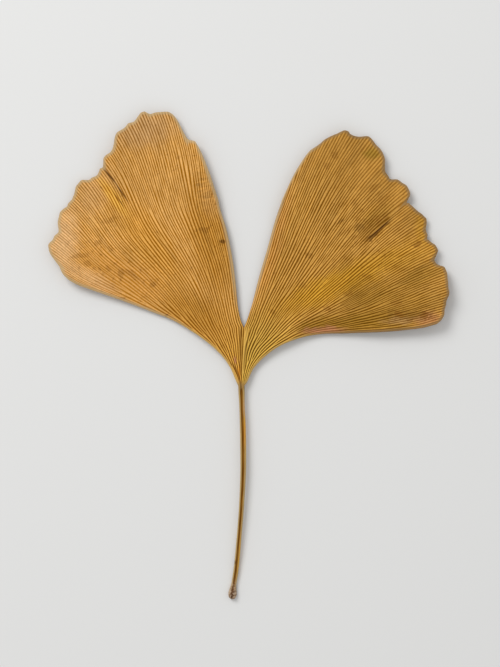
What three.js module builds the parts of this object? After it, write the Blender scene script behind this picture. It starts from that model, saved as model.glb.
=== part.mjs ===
// A dried ginkgo leaf: a fan-shaped blade, cleft into two lobes, grown as one piece with its stalk.
// Millimetres, +Z up. The leaf lies on a surface at z = 0, with its lobes towards +Y and the foot
// of its stalk towards -Y. The origin is on that surface, under the middle of the leaf's outline.
//
// The leaf is a sheet of rows and columns. The rows cross it, from the stalk's foot to the lobes'
// far margins. The columns run along the stalk and fan out in the blade, as its veins do. Ribs rise
// on every second column, and each fork of the ribs doubles the columns.

import * as THREE from "three";

// The veins' lines meet here, in the head of the stalk.
const FAN_CENTRE = [-1.7, -9.5];

// Driving heights and thicknesses. A rib's rise is a share of the ribs' spacing.
const BLADE_THICKNESS = 0.66;
const STALK_THICKNESS = 1.1;
const FOOT_THICKNESS = 1.4;
const MARGIN_WALL = 0.5;
const RIB_RISE = 0.17;
const UNDER_RIB_RISE = 0.06;
const STALK_GROOVE = 0.24;
const BASE_RIM_HEIGHT = 0.3;
const MIDRIB_HEIGHT = 0.25;

// The blade's lift off the surface
const JUNCTION_LIFT = 0.9;
const MIDDLE_LIFT = 0.9;
const MARGIN_LIFT = 1.0;
const FOLD_HEIGHT = 0.65;
const FLUTTER_HEIGHT = 0.38;
const CORNER_CURL = 1.5;
const TROUGH_DEPTH = 0.5;

// Where the leaf touches the surface: one spot under each lobe, and the stalk's foot
const REST_SPOTS = [[-31.0, 35.8], [31.6, 33.0]];
const REST_SPOT_SPREAD = 10;
const REST_SINK = 0.16;

// Creases in the dried blade: a raised or sunken line from one point to another
const CREASES = [
  { from: [-35.2, 45.0], to: [-30.2, 36.4], width: 0.9, height: 0.4 },
  { from: [-34.3, 44.8], to: [-29.2, 36.6], width: 0.6, height: -0.28 },
  { from: [37.9, 36.6], to: [29.6, 28.4], width: 0.9, height: -0.3 },
];

// Rows: fan radii of the rows below the cleft, with the cells of a half-row at each
const BASE_ROWS = [
  { radius: 2.3, cells: 4 },
  { radius: 3.3, cells: 4 },
  { radius: 4.4, cells: 8 },
  { radius: 5.8, cells: 8 },
  { radius: 7.4, cells: 8 },
  { radius: 8.8, cells: 16 },
  { radius: 10.6, cells: 16 },
  { radius: 12.4, cells: 16 },
  { radius: 14.3, cells: 16 },
];

// Rows of a lobe: shares of the way from the cleft to the far margin, with the cells at each
const LOBE_ROWS = [
  { share: 0.035, cells: 32 },
  { share: 0.09, cells: 32 },
  { share: 0.15, cells: 32 },
  { share: 0.21, cells: 32 },
  { share: 0.27, cells: 32 },
  { share: 0.315, cells: 64 },
  { share: 0.39, cells: 64 },
  { share: 0.47, cells: 64 },
  { share: 0.55, cells: 64 },
  { share: 0.63, cells: 64 },
  { share: 0.71, cells: 64 },
  { share: 0.785, cells: 64 },
  { share: 0.85, cells: 64 },
  { share: 0.905, cells: 64 },
  { share: 0.955, cells: 64 },
  { share: 1.0, cells: 64 },
];
const LOBE_MIDDLE_REACH = 65;
const FORK_STAGGER = 0.35;
const STALK_ROWS = 18;

// The stalk, from its foot to the blade: y, the axis's x, the width and the underside's lift
const STALK_STATIONS = [
  { y: -58.46, x: -3.87, width: 0.9, lift: 0.02 },
  { y: -57.9, x: -3.87, width: 1.8, lift: -0.06 },
  { y: -57.2, x: -3.84, width: 2.0, lift: -0.12 },
  { y: -56.2, x: -3.73, width: 1.65, lift: -0.12 },
  { y: -54.8, x: -3.5, width: 1.2, lift: -0.06 },
  { y: -51.5, x: -3.0, width: 1.16, lift: 0.16 },
  { y: -44.0, x: -2.3, width: 1.12, lift: 0.62 },
  { y: -35.0, x: -1.57, width: 1.22, lift: 0.98 },
  { y: -26.0, x: -1.25, width: 1.38, lift: 1.12 },
  { y: -17.5, x: -1.35, width: 1.4, lift: 1.08 },
  { y: -11.5, x: -1.57, width: 1.32, lift: 0.98 },
  { y: -8.8, x: -1.66, width: 1.5, lift: 0.92 },
];

// The cleft's bottom, where the lobes part
const CLEFT = [-1.1, 6.7];

// The left lobe's margins: beside the cleft, along the outside from the stalk, and the far one
const LEFT_INNER = [
  CLEFT, [-1.9, 8.6], [-2.6, 12.4], [-3.1, 17.6], [-3.7, 22.4], [-5.2, 29.9],
  [-7.2, 37.2], [-9.6, 44.4], [-11.6, 49.2], [-12.4, 50.7],
];
const LEFT_OUTER = [
  [-2.5, -7.2], [-3.0, -6.1], [-4.0, -3.7], [-5.4, -1.3], [-7.6, 1.2], [-10.4, 3.6],
  [-13.9, 6.0], [-17.6, 8.2], [-23.5, 10.6], [-30.7, 13.3], [-37.9, 15.8], [-41.5, 17.2],
  [-43.2, 18.2],
];
const LEFT_FAR = [
  [-12.4, 50.7], [-12.8, 51.3], [-14.2, 51.7], [-14.8, 52.2], [-15.6, 53.6], [-17.1, 56.4],
  [-17.9, 57.5], [-18.6, 58.1], [-19.4, 58.46], [-21.2, 58.4], [-22.3, 58.2], [-23.4, 57.9],
  [-24.0, 58.0], [-25.0, 58.4], [-25.6, 58.2], [-26.3, 57.5], [-27.1, 56.4], [-27.6, 56.0],
  [-28.7, 55.7], [-29.5, 54.8], [-30.6, 54.0], [-31.4, 53.4], [-31.8, 52.7], [-32.3, 50.5],
  [-32.7, 49.3], [-33.2, 48.5], [-34.0, 48.0], [-34.6, 47.2], [-34.7, 46.2], [-35.0, 45.0],
  [-35.5, 44.8], [-35.9, 44.0], [-36.7, 43.1], [-37.9, 42.3], [-40.2, 41.9], [-41.1, 40.9],
  [-41.6, 39.7], [-42.0, 38.3], [-42.4, 37.3], [-43.2, 36.6], [-43.6, 35.7], [-44.3, 35.3],
  [-45.1, 34.7], [-45.5, 33.2], [-45.7, 32.1], [-45.6, 29.7], [-46.3, 28.7], [-47.1, 27.5],
  [-47.9, 26.5], [-47.9, 25.7], [-47.4, 24.3], [-46.4, 22.8], [-45.2, 21.2], [-44.3, 19.3],
  [-43.2, 18.2],
];

// The right lobe's margins, in the same order
const RIGHT_INNER = [
  CLEFT, [-0.4, 8.4], [1.0, 12.8], [2.3, 18.0], [4.4, 25.2], [6.4, 32.4],
  [8.0, 37.2], [10.2, 42.0], [12.2, 45.6], [14.6, 49.0],
];
const RIGHT_OUTER = [
  [-0.9, -7.2], [-0.2, -6.1], [0.7, -4.0], [2.2, -1.9], [4.1, -0.1], [6.5, 1.7],
  [10.0, 3.4], [13.1, 4.4], [17.2, 5.1], [23.3, 5.3], [31.6, 5.6], [37.7, 6.1],
  [42.5, 6.8], [44.9, 7.5],
];
const RIGHT_FAR = [
  [14.6, 49.0], [16.0, 49.9], [17.2, 50.8], [18.2, 51.7], [19.6, 52.4], [21.1, 53.1],
  [23.2, 53.9], [23.9, 53.7], [24.4, 53.1], [25.3, 52.6], [26.2, 52.4], [28.9, 52.6],
  [29.5, 52.0], [30.4, 50.8], [31.3, 49.8], [32.2, 48.6], [32.6, 47.4], [32.7, 45.0],
  [32.9, 43.8], [33.5, 42.9], [34.0, 42.4], [35.8, 42.2], [36.4, 41.8], [37.6, 40.9],
  [38.3, 40.0], [38.7, 39.0], [38.5, 37.9], [38.1, 37.2], [37.9, 36.6], [38.5, 36.5],
  [39.4, 35.7], [40.6, 34.6], [41.8, 33.7], [42.5, 33.0], [42.7, 31.6], [42.6, 30.1],
  [43.0, 28.9], [42.9, 27.9], [43.7, 27.1], [44.8, 26.4], [45.4, 25.2], [45.1, 24.1],
  [44.6, 22.8], [45.1, 22.0], [47.0, 21.0], [47.4, 20.2], [47.6, 18.7], [47.7, 16.6],
  [47.9, 15.7], [47.8, 14.5], [47.3, 13.0], [47.0, 11.2], [46.7, 9.7], [46.1, 8.5],
  [44.9, 7.5],
];

const LEAF_MATERIAL = new THREE.MeshStandardMaterial({ color: 0xb28340, roughness: 0.72, metalness: 0 });

// Numbers

const mix = THREE.MathUtils.lerp;
const smoothstep = (low, high, x) => THREE.MathUtils.smoothstep(x, low, high);
const bell = (distance, width) => Math.exp(-((distance / width) ** 2));
const degrees = THREE.MathUtils.radToDeg;
const radians = THREE.MathUtils.degToRad;

// A smooth curve y(x) through points [x, y], which doesn't overshoot between them and goes on
// straight past both ends.
function curveThrough(points) {
  const sorted = [...points].sort((a, b) => a[0] - b[0]);
  const last = sorted.length - 1;
  const rise = (i) => (sorted[i + 1][1] - sorted[i][1]) / (sorted[i + 1][0] - sorted[i][0]);
  const slopes = sorted.map((_, i) => {
    if (i === 0) return rise(0);
    if (i === last) return rise(last - 1);
    const before = rise(i - 1);
    const after = rise(i);
    return before * after <= 0 ? 0 : (2 * before * after) / (before + after);
  });
  return (x) => {
    if (x <= sorted[0][0]) return sorted[0][1] + slopes[0] * (x - sorted[0][0]);
    if (x >= sorted[last][0]) return sorted[last][1] + slopes[last] * (x - sorted[last][0]);
    const i = sorted.findIndex((point) => point[0] > x) - 1;
    const step = sorted[i + 1][0] - sorted[i][0];
    const t = (x - sorted[i][0]) / step;
    const from = sorted[i][1] * (1 + 2 * t) * (1 - t) ** 2 + sorted[i + 1][1] * t * t * (3 - 2 * t);
    return from + step * (slopes[i] * t * (1 - t) ** 2 - slopes[i + 1] * t * t * (1 - t));
  };
}

// The fan: a point of the blade by its radius from the fan's centre and its angle from +Y,
// positive towards +X

function toFan([x, y]) {
  const dx = x - FAN_CENTRE[0];
  const dy = y - FAN_CENTRE[1];
  return { radius: Math.hypot(dx, dy), angle: degrees(Math.atan2(dx, dy)) };
}

function fromFan(radius, angle) {
  const turn = radians(angle);
  return [FAN_CENTRE[0] + radius * Math.sin(turn), FAN_CENTRE[1] + radius * Math.cos(turn)];
}

// A side margin as the fan angle at each radius
function marginAngle(points) {
  return curveThrough(points.map(toFan).map(({ radius, angle }) => [radius, angle]));
}

// A lobe: the angles of its two side margins at each radius, and the reach of its far margin
// at each share of the way across, from the cleft's side to the outside
function makeLobe(innerPoints, outerPoints, farPoints) {
  const inner = marginAngle(innerPoints);
  const outer = marginAngle(outerPoints);
  const across = ({ radius, angle }) => (angle - inner(radius)) / (outer(radius) - inner(radius));
  const reach = curveThrough(farPoints.map(toFan).map((point) => [across(point), point.radius]));
  return { inner, outer, reach };
}

const LEFT_LOBE = makeLobe(LEFT_INNER, LEFT_OUTER, LEFT_FAR);
const RIGHT_LOBE = makeLobe(RIGHT_INNER, RIGHT_OUTER, RIGHT_FAR);
const CLEFT_POINT = toFan(CLEFT);

// Relief of the blade

function distanceToLine([x, y], from, to) {
  const along = new THREE.Vector2(to[0] - from[0], to[1] - from[1]);
  const offset = new THREE.Vector2(x - from[0], y - from[1]);
  const share = offset.dot(along) / along.lengthSq();
  const beyond = Math.max(0, -share, share - 1) * along.length();
  return Math.hypot(along.cross(offset) / along.length(), beyond);
}

// The waves, folds and curl of the dried blade, before it is let down on its rest spots
function openLift(radius, angle) {
  const spread = radius / LOBE_MIDDLE_REACH;
  const lobeTurn = angle < 0 ? angle + 31 : angle - 40;
  const saddle = mix(JUNCTION_LIFT, MIDDLE_LIFT, smoothstep(0, 0.45, spread)) + MARGIN_LIFT * spread ** 4;
  const fold = FOLD_HEIGHT * spread * Math.cos((lobeTurn * Math.PI) / 13);
  const curl = CORNER_CURL * (Math.abs(angle) / 60) ** 4 * spread ** 2;
  const trough = TROUGH_DEPTH * bell(radius - 11, 9) * (angle / 34) ** 2;
  const creases = CREASES.map(({ from, to, width, height }) => {
    return height * bell(distanceToLine(fromFan(radius, angle), from, to), width);
  });
  return saddle + fold + curl + trough + creases.reduce((sum, height) => sum + height, 0);
}

const REST_DIPS = REST_SPOTS.map((spot) => {
  const { radius, angle } = toFan(spot);
  return { spot, depth: openLift(radius, angle) + REST_SINK };
});

// Height of the blade's underside off the surface. edge is 1 at the far margin and 0 at the cleft.
function bladeLift(radius, angle, edge) {
  const [x, y] = fromFan(radius, angle);
  const dips = REST_DIPS.map(({ spot, depth }) => {
    return depth * bell(Math.hypot(x - spot[0], y - spot[1]), REST_SPOT_SPREAD);
  });
  const flutter = FLUTTER_HEIGHT * edge ** 5 * Math.sin(angle * 0.62 + 0.8);
  return openLift(radius, angle) + flutter - dips.reduce((sum, dip) => sum + dip, 0);
}

// One cut across the leaf: heights of the two faces at a place from -1, the left margin, to +1.
// round is 1 for the stalk's round section and 0 for the flat blade's, and ribPitch is the ribs'
// spacing at a point on a rib, or 0 between two ribs.
function section({ lift, thickness, place, round, groove, ribPitch }) {
  const arch = Math.sqrt(Math.max(0, 1 - place * place));
  const half = mix(thickness / 2, mix(MARGIN_WALL / 2, thickness / 2, arch), round);
  const middle = lift + thickness / 2;
  const furrow = groove * bell(place, 0.3);
  const sunk = Math.max(0, half - middle);
  return {
    bottom: Math.max(0, middle - half - UNDER_RIB_RISE * ribPitch),
    top: middle + half + sunk - furrow + RIB_RISE * ribPitch,
  };
}

// The sheet: points with the heights of both faces, and triangles that both faces share

const sheet = { points: [], triangles: [] };

function addPoint([x, y], { bottom, top }) {
  sheet.points.push({ x, y, bottom, top });
  return sheet.points.length - 1;
}

// Joins two rows, given from left to right, the second further from the stalk's foot. Where the
// second has twice the cells, three triangles make each step.
function joinRows(near, far) {
  const cells = near.length - 1;
  const forks = far.length - 1 === 2 * cells;
  for (let i = 0; i < cells; i += 1) {
    const [a, b] = [near[i], near[i + 1]];
    if (forks) {
      const [c, d, e] = [far[2 * i], far[2 * i + 1], far[2 * i + 2]];
      sheet.triangles.push([a, b, d], [a, d, c], [b, e, d]);
    } else {
      const [c, d] = [far[i], far[i + 1]];
      sheet.triangles.push([a, b, d], [a, d, c]);
    }
  }
}

const isCrest = (column) => column % 2 === 1;

// The spacing of the ribs on an arc of the fan, with a rib on every second of its cells
const ribSpacing = (angle, radius, cells) => (2 * radius * radians(Math.abs(angle))) / cells;

// How far a point of a row moves along its rib towards the next row, as a share of the gap, so
// that the forks don't stand in one line
function forkShift(rows, index, column) {
  const forks = index + 1 < rows.length && rows[index + 1].cells > rows[index].cells;
  return forks && isCrest(column) ? FORK_STAGGER * Math.sin(column * 2.4) : 0;
}

function makeStalk() {
  const axisAt = curveThrough(STALK_STATIONS.map(({ y, x }) => [y, x]));
  const widthAt = curveThrough(STALK_STATIONS.map(({ y, width }) => [y, width]));
  const liftAt = curveThrough(STALK_STATIONS.map(({ y, lift }) => [y, lift]));
  const footY = STALK_STATIONS[0].y;
  const headY = STALK_STATIONS.at(-1).y;
  const cells = 2 * BASE_ROWS[0].cells;
  const rows = [];
  for (let i = 0; i < STALK_ROWS; i += 1) {
    const share = i / (STALK_ROWS - 1);
    const y = mix(footY, headY, share ** 1.35);
    const footness = 1 - smoothstep(footY + 1.2, footY + 4.5, y);
    const slant = (axisAt(y + 0.1) - axisAt(y - 0.1)) / 0.2;
    const row = [];
    for (let column = 0; column <= cells; column += 1) {
      const place = Math.sin((column / cells - 0.5) * Math.PI);
      const offset = (place * widthAt(y)) / 2;
      const faces = section({
        lift: liftAt(y),
        thickness: mix(STALK_THICKNESS, FOOT_THICKNESS, footness),
        place,
        round: 1,
        groove: STALK_GROOVE * (1 - footness),
        ribPitch: 0,
      });
      row.push(addPoint([axisAt(y) + offset, y - offset * slant], faces));
    }
    rows.push(row);
  }
  return rows;
}

// The rows between the stalk and the cleft, across both halves of the blade
function makeBase() {
  const rows = [];
  const cleftRow = { radius: CLEFT_POINT.radius, cells: BASE_ROWS.at(-1).cells };
  [...BASE_ROWS, cleftRow].forEach(({ radius: rowRadius, cells }, index, all) => {
    const gap = index + 1 < all.length ? all[index + 1].radius - rowRadius : 0;
    const row = [];
    for (let column = 0; column <= 2 * cells; column += 1) {
      const across = column / cells - 1;
      const round = 1 - smoothstep(2, 9, rowRadius);
      const place = mix(across, Math.sin((across * Math.PI) / 2), round);
      const radius = rowRadius + gap * forkShift(all, index, column);
      const middle = CLEFT_POINT.angle * smoothstep(2, CLEFT_POINT.radius, radius);
      const side = place < 0 ? LEFT_LOBE.outer(radius) : RIGHT_LOBE.outer(radius);
      const angle = mix(middle, side, Math.abs(place));
      const ribbing = smoothstep(2.5, 8, radius);
      const faces = section({
        lift: bladeLift(radius, angle, 0) + BASE_RIM_HEIGHT * place ** 6 * ribbing * round,
        thickness: mix(STALK_THICKNESS, BLADE_THICKNESS, smoothstep(2, 12, radius)),
        place,
        round,
        groove: STALK_GROOVE * (1 - smoothstep(2, 4.5, radius)),
        ribPitch: isCrest(column) ? ribbing * ribSpacing(side, radius, cells) : 0,
      });
      faces.top += baseRims(radius, place);
      row.push(addPoint(fromFan(radius, angle), faces));
    }
    rows.push(row);
  });
  return rows;
}

// The thick margins and the middle rib that carry the stalk's ridges on into the blade
function baseRims(radius, place) {
  const rims = BASE_RIM_HEIGHT * Math.abs(place) ** 8 * smoothstep(2, 6, radius) * bell(radius, 26);
  const midrib = MIDRIB_HEIGHT * bell(place, 0.12) * smoothstep(4, 8, radius);
  return rims + midrib * (1 - smoothstep(11, CLEFT_POINT.radius, radius));
}

// The rows of one lobe, from the cleft to the far margin. side is -1 left of the cleft and +1
// right of it, and cleftHalf is this lobe's half of the row at the cleft.
function makeLobeRows(lobe, side, cleftHalf) {
  const rows = [cleftHalf];
  LOBE_ROWS.forEach(({ share: rowShare, cells }, index, all) => {
    const gap = index + 1 < all.length ? all[index + 1].share - rowShare : 0;
    const row = [];
    for (let column = 0; column <= cells; column += 1) {
      const across = side < 0 ? 1 - column / cells : column / cells;
      const share = rowShare + gap * forkShift(all, index, column);
      const even = mix(CLEFT_POINT.radius, LOBE_MIDDLE_REACH, share);
      const radius = even + (lobe.reach(across) - LOBE_MIDDLE_REACH) * share ** 2;
      const angle = mix(lobe.inner(radius), lobe.outer(radius), across);
      const faces = section({
        lift: bladeLift(radius, angle, share),
        thickness: BLADE_THICKNESS,
        place: 0,
        round: 0,
        groove: 0,
        ribPitch: isCrest(column) ? ribSpacing(lobe.outer(radius) - lobe.inner(radius), radius, cells) : 0,
      });
      faces.top += BASE_RIM_HEIGHT * across ** 24 * bell(radius, 26);
      row.push(addPoint(fromFan(radius, angle), faces));
    }
    rows.push(row);
  });
  return rows;
}

// The closed solid: the sheet's top face, its bottom face and the wall round its margin
function solidFromSheet() {
  const { points, triangles } = sheet;
  const count = points.length;
  const above = points.map(({ x, y, top }) => [x, y, top]);
  const below = points.map(({ x, y, bottom }) => [x, y, bottom]);
  const faces = [];
  const edges = new Map();
  triangles.forEach(([a, b, c]) => {
    faces.push([a, b, c], [a + count, c + count, b + count]);
    [[a, b], [b, c], [c, a]].forEach(([from, to]) => {
      if (!edges.delete(`${to} ${from}`)) edges.set(`${from} ${to}`, [from, to]);
    });
  });
  edges.forEach(([from, to]) => {
    faces.push([to, from, from + count], [to, from + count, to + count]);
  });
  const geometry = new THREE.BufferGeometry();
  geometry.setAttribute("position", new THREE.Float32BufferAttribute([...above, ...below].flat(), 3));
  geometry.setIndex(faces.flat());
  geometry.computeVertexNormals();
  return geometry;
}

function makeLeaf() {
  const base = [...makeStalk(), ...makeBase()];
  const cleftRow = base.at(-1);
  const middle = (cleftRow.length - 1) / 2;
  const left = makeLobeRows(LEFT_LOBE, -1, cleftRow.slice(0, middle + 1));
  const right = makeLobeRows(RIGHT_LOBE, 1, cleftRow.slice(middle));
  [base, left, right].forEach((rows) => {
    rows.slice(1).forEach((row, i) => joinRows(rows[i], row));
  });
  const leaf = new THREE.Mesh(solidFromSheet(), LEAF_MATERIAL);
  leaf.name = "leaf";
  return leaf;
}

const ginkgoLeaf = new THREE.Group();
ginkgoLeaf.add(makeLeaf());

export default ginkgoLeaf;
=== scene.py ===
"""A dried, pressed ginkgo leaf, seen straight from above on a plain pale floor.

The leaf is one piece, blade and stalk together. Its mesh is a sheet of rows and columns. Rows
cross the leaf, from the stalk's foot to the lobes' far margins. Columns run along the stalk and
fan out in the blade, as the veins do. Sizes are in millimetres, and the meshes are in metres.
"""

import logging
import math
from dataclasses import dataclass, field
from enum import Enum
from typing import Mapping, Sequence, Union

import bpy
import numpy as np
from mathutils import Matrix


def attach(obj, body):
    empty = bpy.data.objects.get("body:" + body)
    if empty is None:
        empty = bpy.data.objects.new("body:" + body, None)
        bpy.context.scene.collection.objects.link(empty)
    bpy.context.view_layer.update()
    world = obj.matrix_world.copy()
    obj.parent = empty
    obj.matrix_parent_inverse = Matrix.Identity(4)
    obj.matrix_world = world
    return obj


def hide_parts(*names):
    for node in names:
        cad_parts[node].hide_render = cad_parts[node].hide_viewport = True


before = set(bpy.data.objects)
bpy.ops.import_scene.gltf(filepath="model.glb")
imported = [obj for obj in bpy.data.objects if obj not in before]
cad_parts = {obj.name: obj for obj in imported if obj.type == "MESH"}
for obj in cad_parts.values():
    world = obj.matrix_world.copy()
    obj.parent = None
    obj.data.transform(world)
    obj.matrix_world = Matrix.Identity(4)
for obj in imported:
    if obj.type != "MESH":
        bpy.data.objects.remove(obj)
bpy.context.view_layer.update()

LOG = logging.getLogger("ginkgo_leaf")
METRES = 0.001

Point = tuple[float, float]
Span = tuple[float, float]
Colour = tuple[float, float, float]
Array = np.ndarray


# Numbers


def mix(low: Array, high: Array, share: Array) -> Array:
    """Return the value that lies the given share of the way from low to high."""
    return low + (high - low) * share


def smoothstep(low: float, high: float, value: Array) -> Array:
    """Return 0 below low and 1 above high, with a soft rise between them."""
    share = np.clip((value - low) / (high - low), 0.0, 1.0)
    return share * share * (3.0 - 2.0 * share)


def bell(distance: Array, width: float) -> Array:
    """Return 1 at no distance, falling off smoothly over about the given width."""
    return np.exp(-np.square(distance / width))


def tone(red: int, green: int, blue: int) -> Colour:
    """Return the linear colour that a picture shows as these three levels of 0 to 255."""
    levels = (red / 255.0, green / 255.0, blue / 255.0)
    return tuple(v / 12.92 if v <= 0.04045 else ((v + 0.055) / 1.055) ** 2.4 for v in levels)


class SmoothCurve:
    """A smooth curve y(x) through points, with no overshoot and straight beyond both ends."""

    def __init__(self, points: Sequence[Sequence[float]]) -> None:
        """Keep the points and work out the curve's slope at each.

        Args:
            points: Pairs of x and y, in any order.
        """
        self.x, self.y = np.array(sorted(map(tuple, points))).T
        rise = np.diff(self.y) / np.diff(self.x)
        product = rise[:-1] * rise[1:]
        total = np.where(product > 0.0, rise[:-1] + rise[1:], 1.0)
        inner = np.where(product > 0.0, 2.0 * product / total, 0.0)
        self.slope = np.concatenate([rise[:1], inner, rise[-1:]])

    def __call__(self, x: Array) -> Array:
        """Return the curve's height.

        Args:
            x: Where to read the curve.

        Returns:
            The height at each x.
        """
        x = np.asarray(x, dtype=float)
        i = np.clip(np.searchsorted(self.x, x, side="right") - 1, 0, len(self.x) - 2)
        step = self.x[i + 1] - self.x[i]
        t = np.clip((x - self.x[i]) / step, 0.0, 1.0)
        held = self.y[i] * (1.0 + 2.0 * t) * (1.0 - t) ** 2
        held = held + self.y[i + 1] * t * t * (3.0 - 2.0 * t)
        bent = step * (self.slope[i] * t * (1.0 - t) ** 2 - self.slope[i + 1] * t * t * (1.0 - t))
        before = np.minimum(x - self.x[0], 0.0) * self.slope[0]
        beyond = np.maximum(x - self.x[-1], 0.0) * self.slope[-1]
        return held + bent + before + beyond


class SoftNoise:
    """Smooth seeded noise between about -1 and 1, made of a few crossing waves."""

    def __init__(self, seed: int, waves: int = 7) -> None:
        """Draw the waves' directions, lengths and starts.

        Args:
            seed: Seed of the draw.
            waves: How many waves are added up.
        """
        draw = np.random.default_rng(seed)
        self.turn = draw.uniform(0.0, 2.0 * math.pi, waves)
        self.pitch = draw.uniform(0.6, 1.7, waves)
        self.start = draw.uniform(0.0, 2.0 * math.pi, waves)

    def __call__(self, x: Array, y: Array) -> Array:
        """Return the noise, with features about 3 units across.

        Args:
            x: First coordinate of each place.
            y: Second coordinate of each place.

        Returns:
            The noise at each place.
        """
        total = np.zeros(np.broadcast(x, y).shape)
        for turn, pitch, start in zip(self.turn, self.pitch, self.start):
            total += np.sin(pitch * (x * math.cos(turn) + y * math.sin(turn)) + start)
        return total / math.sqrt(len(self.turn))


# The leaf's outline


@dataclass(frozen=True)
class Fan:
    """Places in the blade by radius and angle, about the point where the veins' lines meet."""

    centre: Point = (-1.7, -9.5)

    def place(self, radius: Array, angle: Array) -> tuple[Array, Array]:
        """Return x and y of a radius in mm and an angle in degrees from +Y towards +X."""
        turn = np.radians(angle)
        return self.centre[0] + radius * np.sin(turn), self.centre[1] + radius * np.cos(turn)

    def polar(self, x: Array, y: Array) -> tuple[Array, Array]:
        """Return the radius and the angle of a place."""
        dx, dy = np.asarray(x) - self.centre[0], np.asarray(y) - self.centre[1]
        return np.hypot(dx, dy), np.degrees(np.arctan2(dx, dy))


FAN = Fan()
CLEFT: Point = (-1.1, 6.7)
MIDLINE: tuple[Point, ...] = ((-1.7, -7.4), (-1.55, -1.0), CLEFT)


@dataclass(frozen=True)
class VeinFan:
    """How the lines of one half's veins fan out between the half's two side margins.

    A line is a number from 0 at the inner margin to 1 along the outer one. The lines are evenly
    spaced at the full radius. Nearer to the stalk they keep their directions until the outer
    margin presses them together. They are counted from the guide, which turns little, and only
    the lines near the inner margin bend to follow it.
    """

    inner: SmoothCurve
    guide: SmoothCurve
    outer: SmoothCurve
    full_radius: float
    sharpness: float
    inner_bend: float = 8.0

    def pressed(self, free: Array) -> Array:
        """Return where a line lies that would lie at free, with the margin at 1."""
        return free / (1.0 + free**self.sharpness) ** (1.0 / self.sharpness)

    def freed(self, pressed: Array) -> Array:
        """Return the opposite of pressed."""
        return pressed / (1.0 - pressed**self.sharpness) ** (1.0 / self.sharpness)

    def crowding(self, radius: Array) -> Array:
        """Return how many times narrower the half's angle is than at the full radius."""
        full = np.abs(self.outer(self.full_radius) - self.guide(self.full_radius))
        return full / np.abs(self.outer(radius) - self.guide(radius))

    def across(self, line: Array, radius: Array) -> Array:
        """Return how far a line lies from the guide to the outer margin, by angle.

        Args:
            line: The line, from 0 at the inner margin to 1 along the outer one.
            radius: Fan radius in mm.

        Returns:
            The share of the way across.
        """
        crowding = self.crowding(radius)
        free = self.freed(line * self.pressed(1.0))
        return self.pressed(free * crowding) / self.pressed(crowding)

    def line(self, across: Array, radius: Array) -> Array:
        """Return the line at a share of the way from the guide to the outer margin.

        Args:
            across: The share of the way across.
            radius: Fan radius in mm.

        Returns:
            The line, from 0 to 1.
        """
        crowding = self.crowding(radius)
        free = self.freed(np.clip(across, 0.0, 1.0) * self.pressed(crowding)) / crowding
        return self.pressed(free) / self.pressed(1.0)

    def angle(self, across: Array, radius: Array) -> Array:
        """Return the fan angle at a share of the way across.

        Args:
            across: The share of the way across.
            radius: Fan radius in mm.

        Returns:
            The angle in degrees.
        """
        guide = self.guide(radius)
        bend = (self.inner(radius) - guide) * (1.0 - across) ** self.inner_bend
        return mix(guide, self.outer(radius), across) + bend

    def gaps(self, lines: Array, radius: float) -> Array:
        """Return the widths in mm between neighbouring lines, along an arc."""
        angles = self.angle(self.across(lines, radius), radius)
        return radius * np.radians(np.abs(np.diff(angles)))

    def share(self, angle: float, radius: float) -> float:
        """Return the share of the way across at a fan angle.

        Args:
            angle: The angle in degrees.
            radius: Fan radius in mm.

        Returns:
            The share, from 0 to 1.
        """
        shares = np.linspace(0.0, 1.0, 1001)
        angles = self.angle(shares, radius)
        turn = np.sign(angles[-1] - angles[0])
        return float(np.interp(angle * turn, angles * turn, shares))

    def width(self, radius: Array) -> Array:
        """Return the half's width in mm, along an arc."""
        return radius * np.radians(np.abs(self.outer(radius) - self.inner(radius)))


@dataclass(frozen=True)
class LobeOutline:
    """The margins of one lobe: beside the cleft, along the outside, and the far one.

    The guide is the fan angle that the veins' lines are counted from, at a few radii. The corner
    guide is a point that the innermost line would go on to, past the lobe's inner corner.
    """

    guide: tuple[Point, ...]
    inner_points: tuple[Point, ...]
    corner_guide: Point
    outer_points: tuple[Point, ...]
    far_points: tuple[Point, ...]
    full_radius: float
    sharpness: float

    @staticmethod
    def margin(points: Sequence[Point]) -> SmoothCurve:
        """Return a side margin as the fan angle at each radius."""
        return SmoothCurve([tuple(map(float, FAN.polar(*point))) for point in points])

    def fan(self, inner: SmoothCurve) -> VeinFan:
        """Return the veins' lines, with the given inner margin."""
        outer = self.margin(self.outer_points)
        return VeinFan(inner, SmoothCurve(self.guide), outer, self.full_radius, self.sharpness)

    def lobe_fan(self) -> VeinFan:
        """Return the lines in the lobe, beside the cleft."""
        return self.fan(self.margin((*self.inner_points, self.corner_guide)))

    def base_fan(self) -> VeinFan:
        """Return the lines below the cleft, beside the leaf's midline."""
        return self.fan(self.margin(MIDLINE))

    def reach(self) -> SmoothCurve:
        """Return the far margin.

        Returns:
            Its radius in mm at each line.
        """
        fan = self.lobe_fan()
        far = []
        for x, y in self.far_points:
            radius, angle = map(float, FAN.polar(x, y))
            far.append((float(fan.line(fan.share(angle, radius), radius)), radius))
        return SmoothCurve(far)


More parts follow.
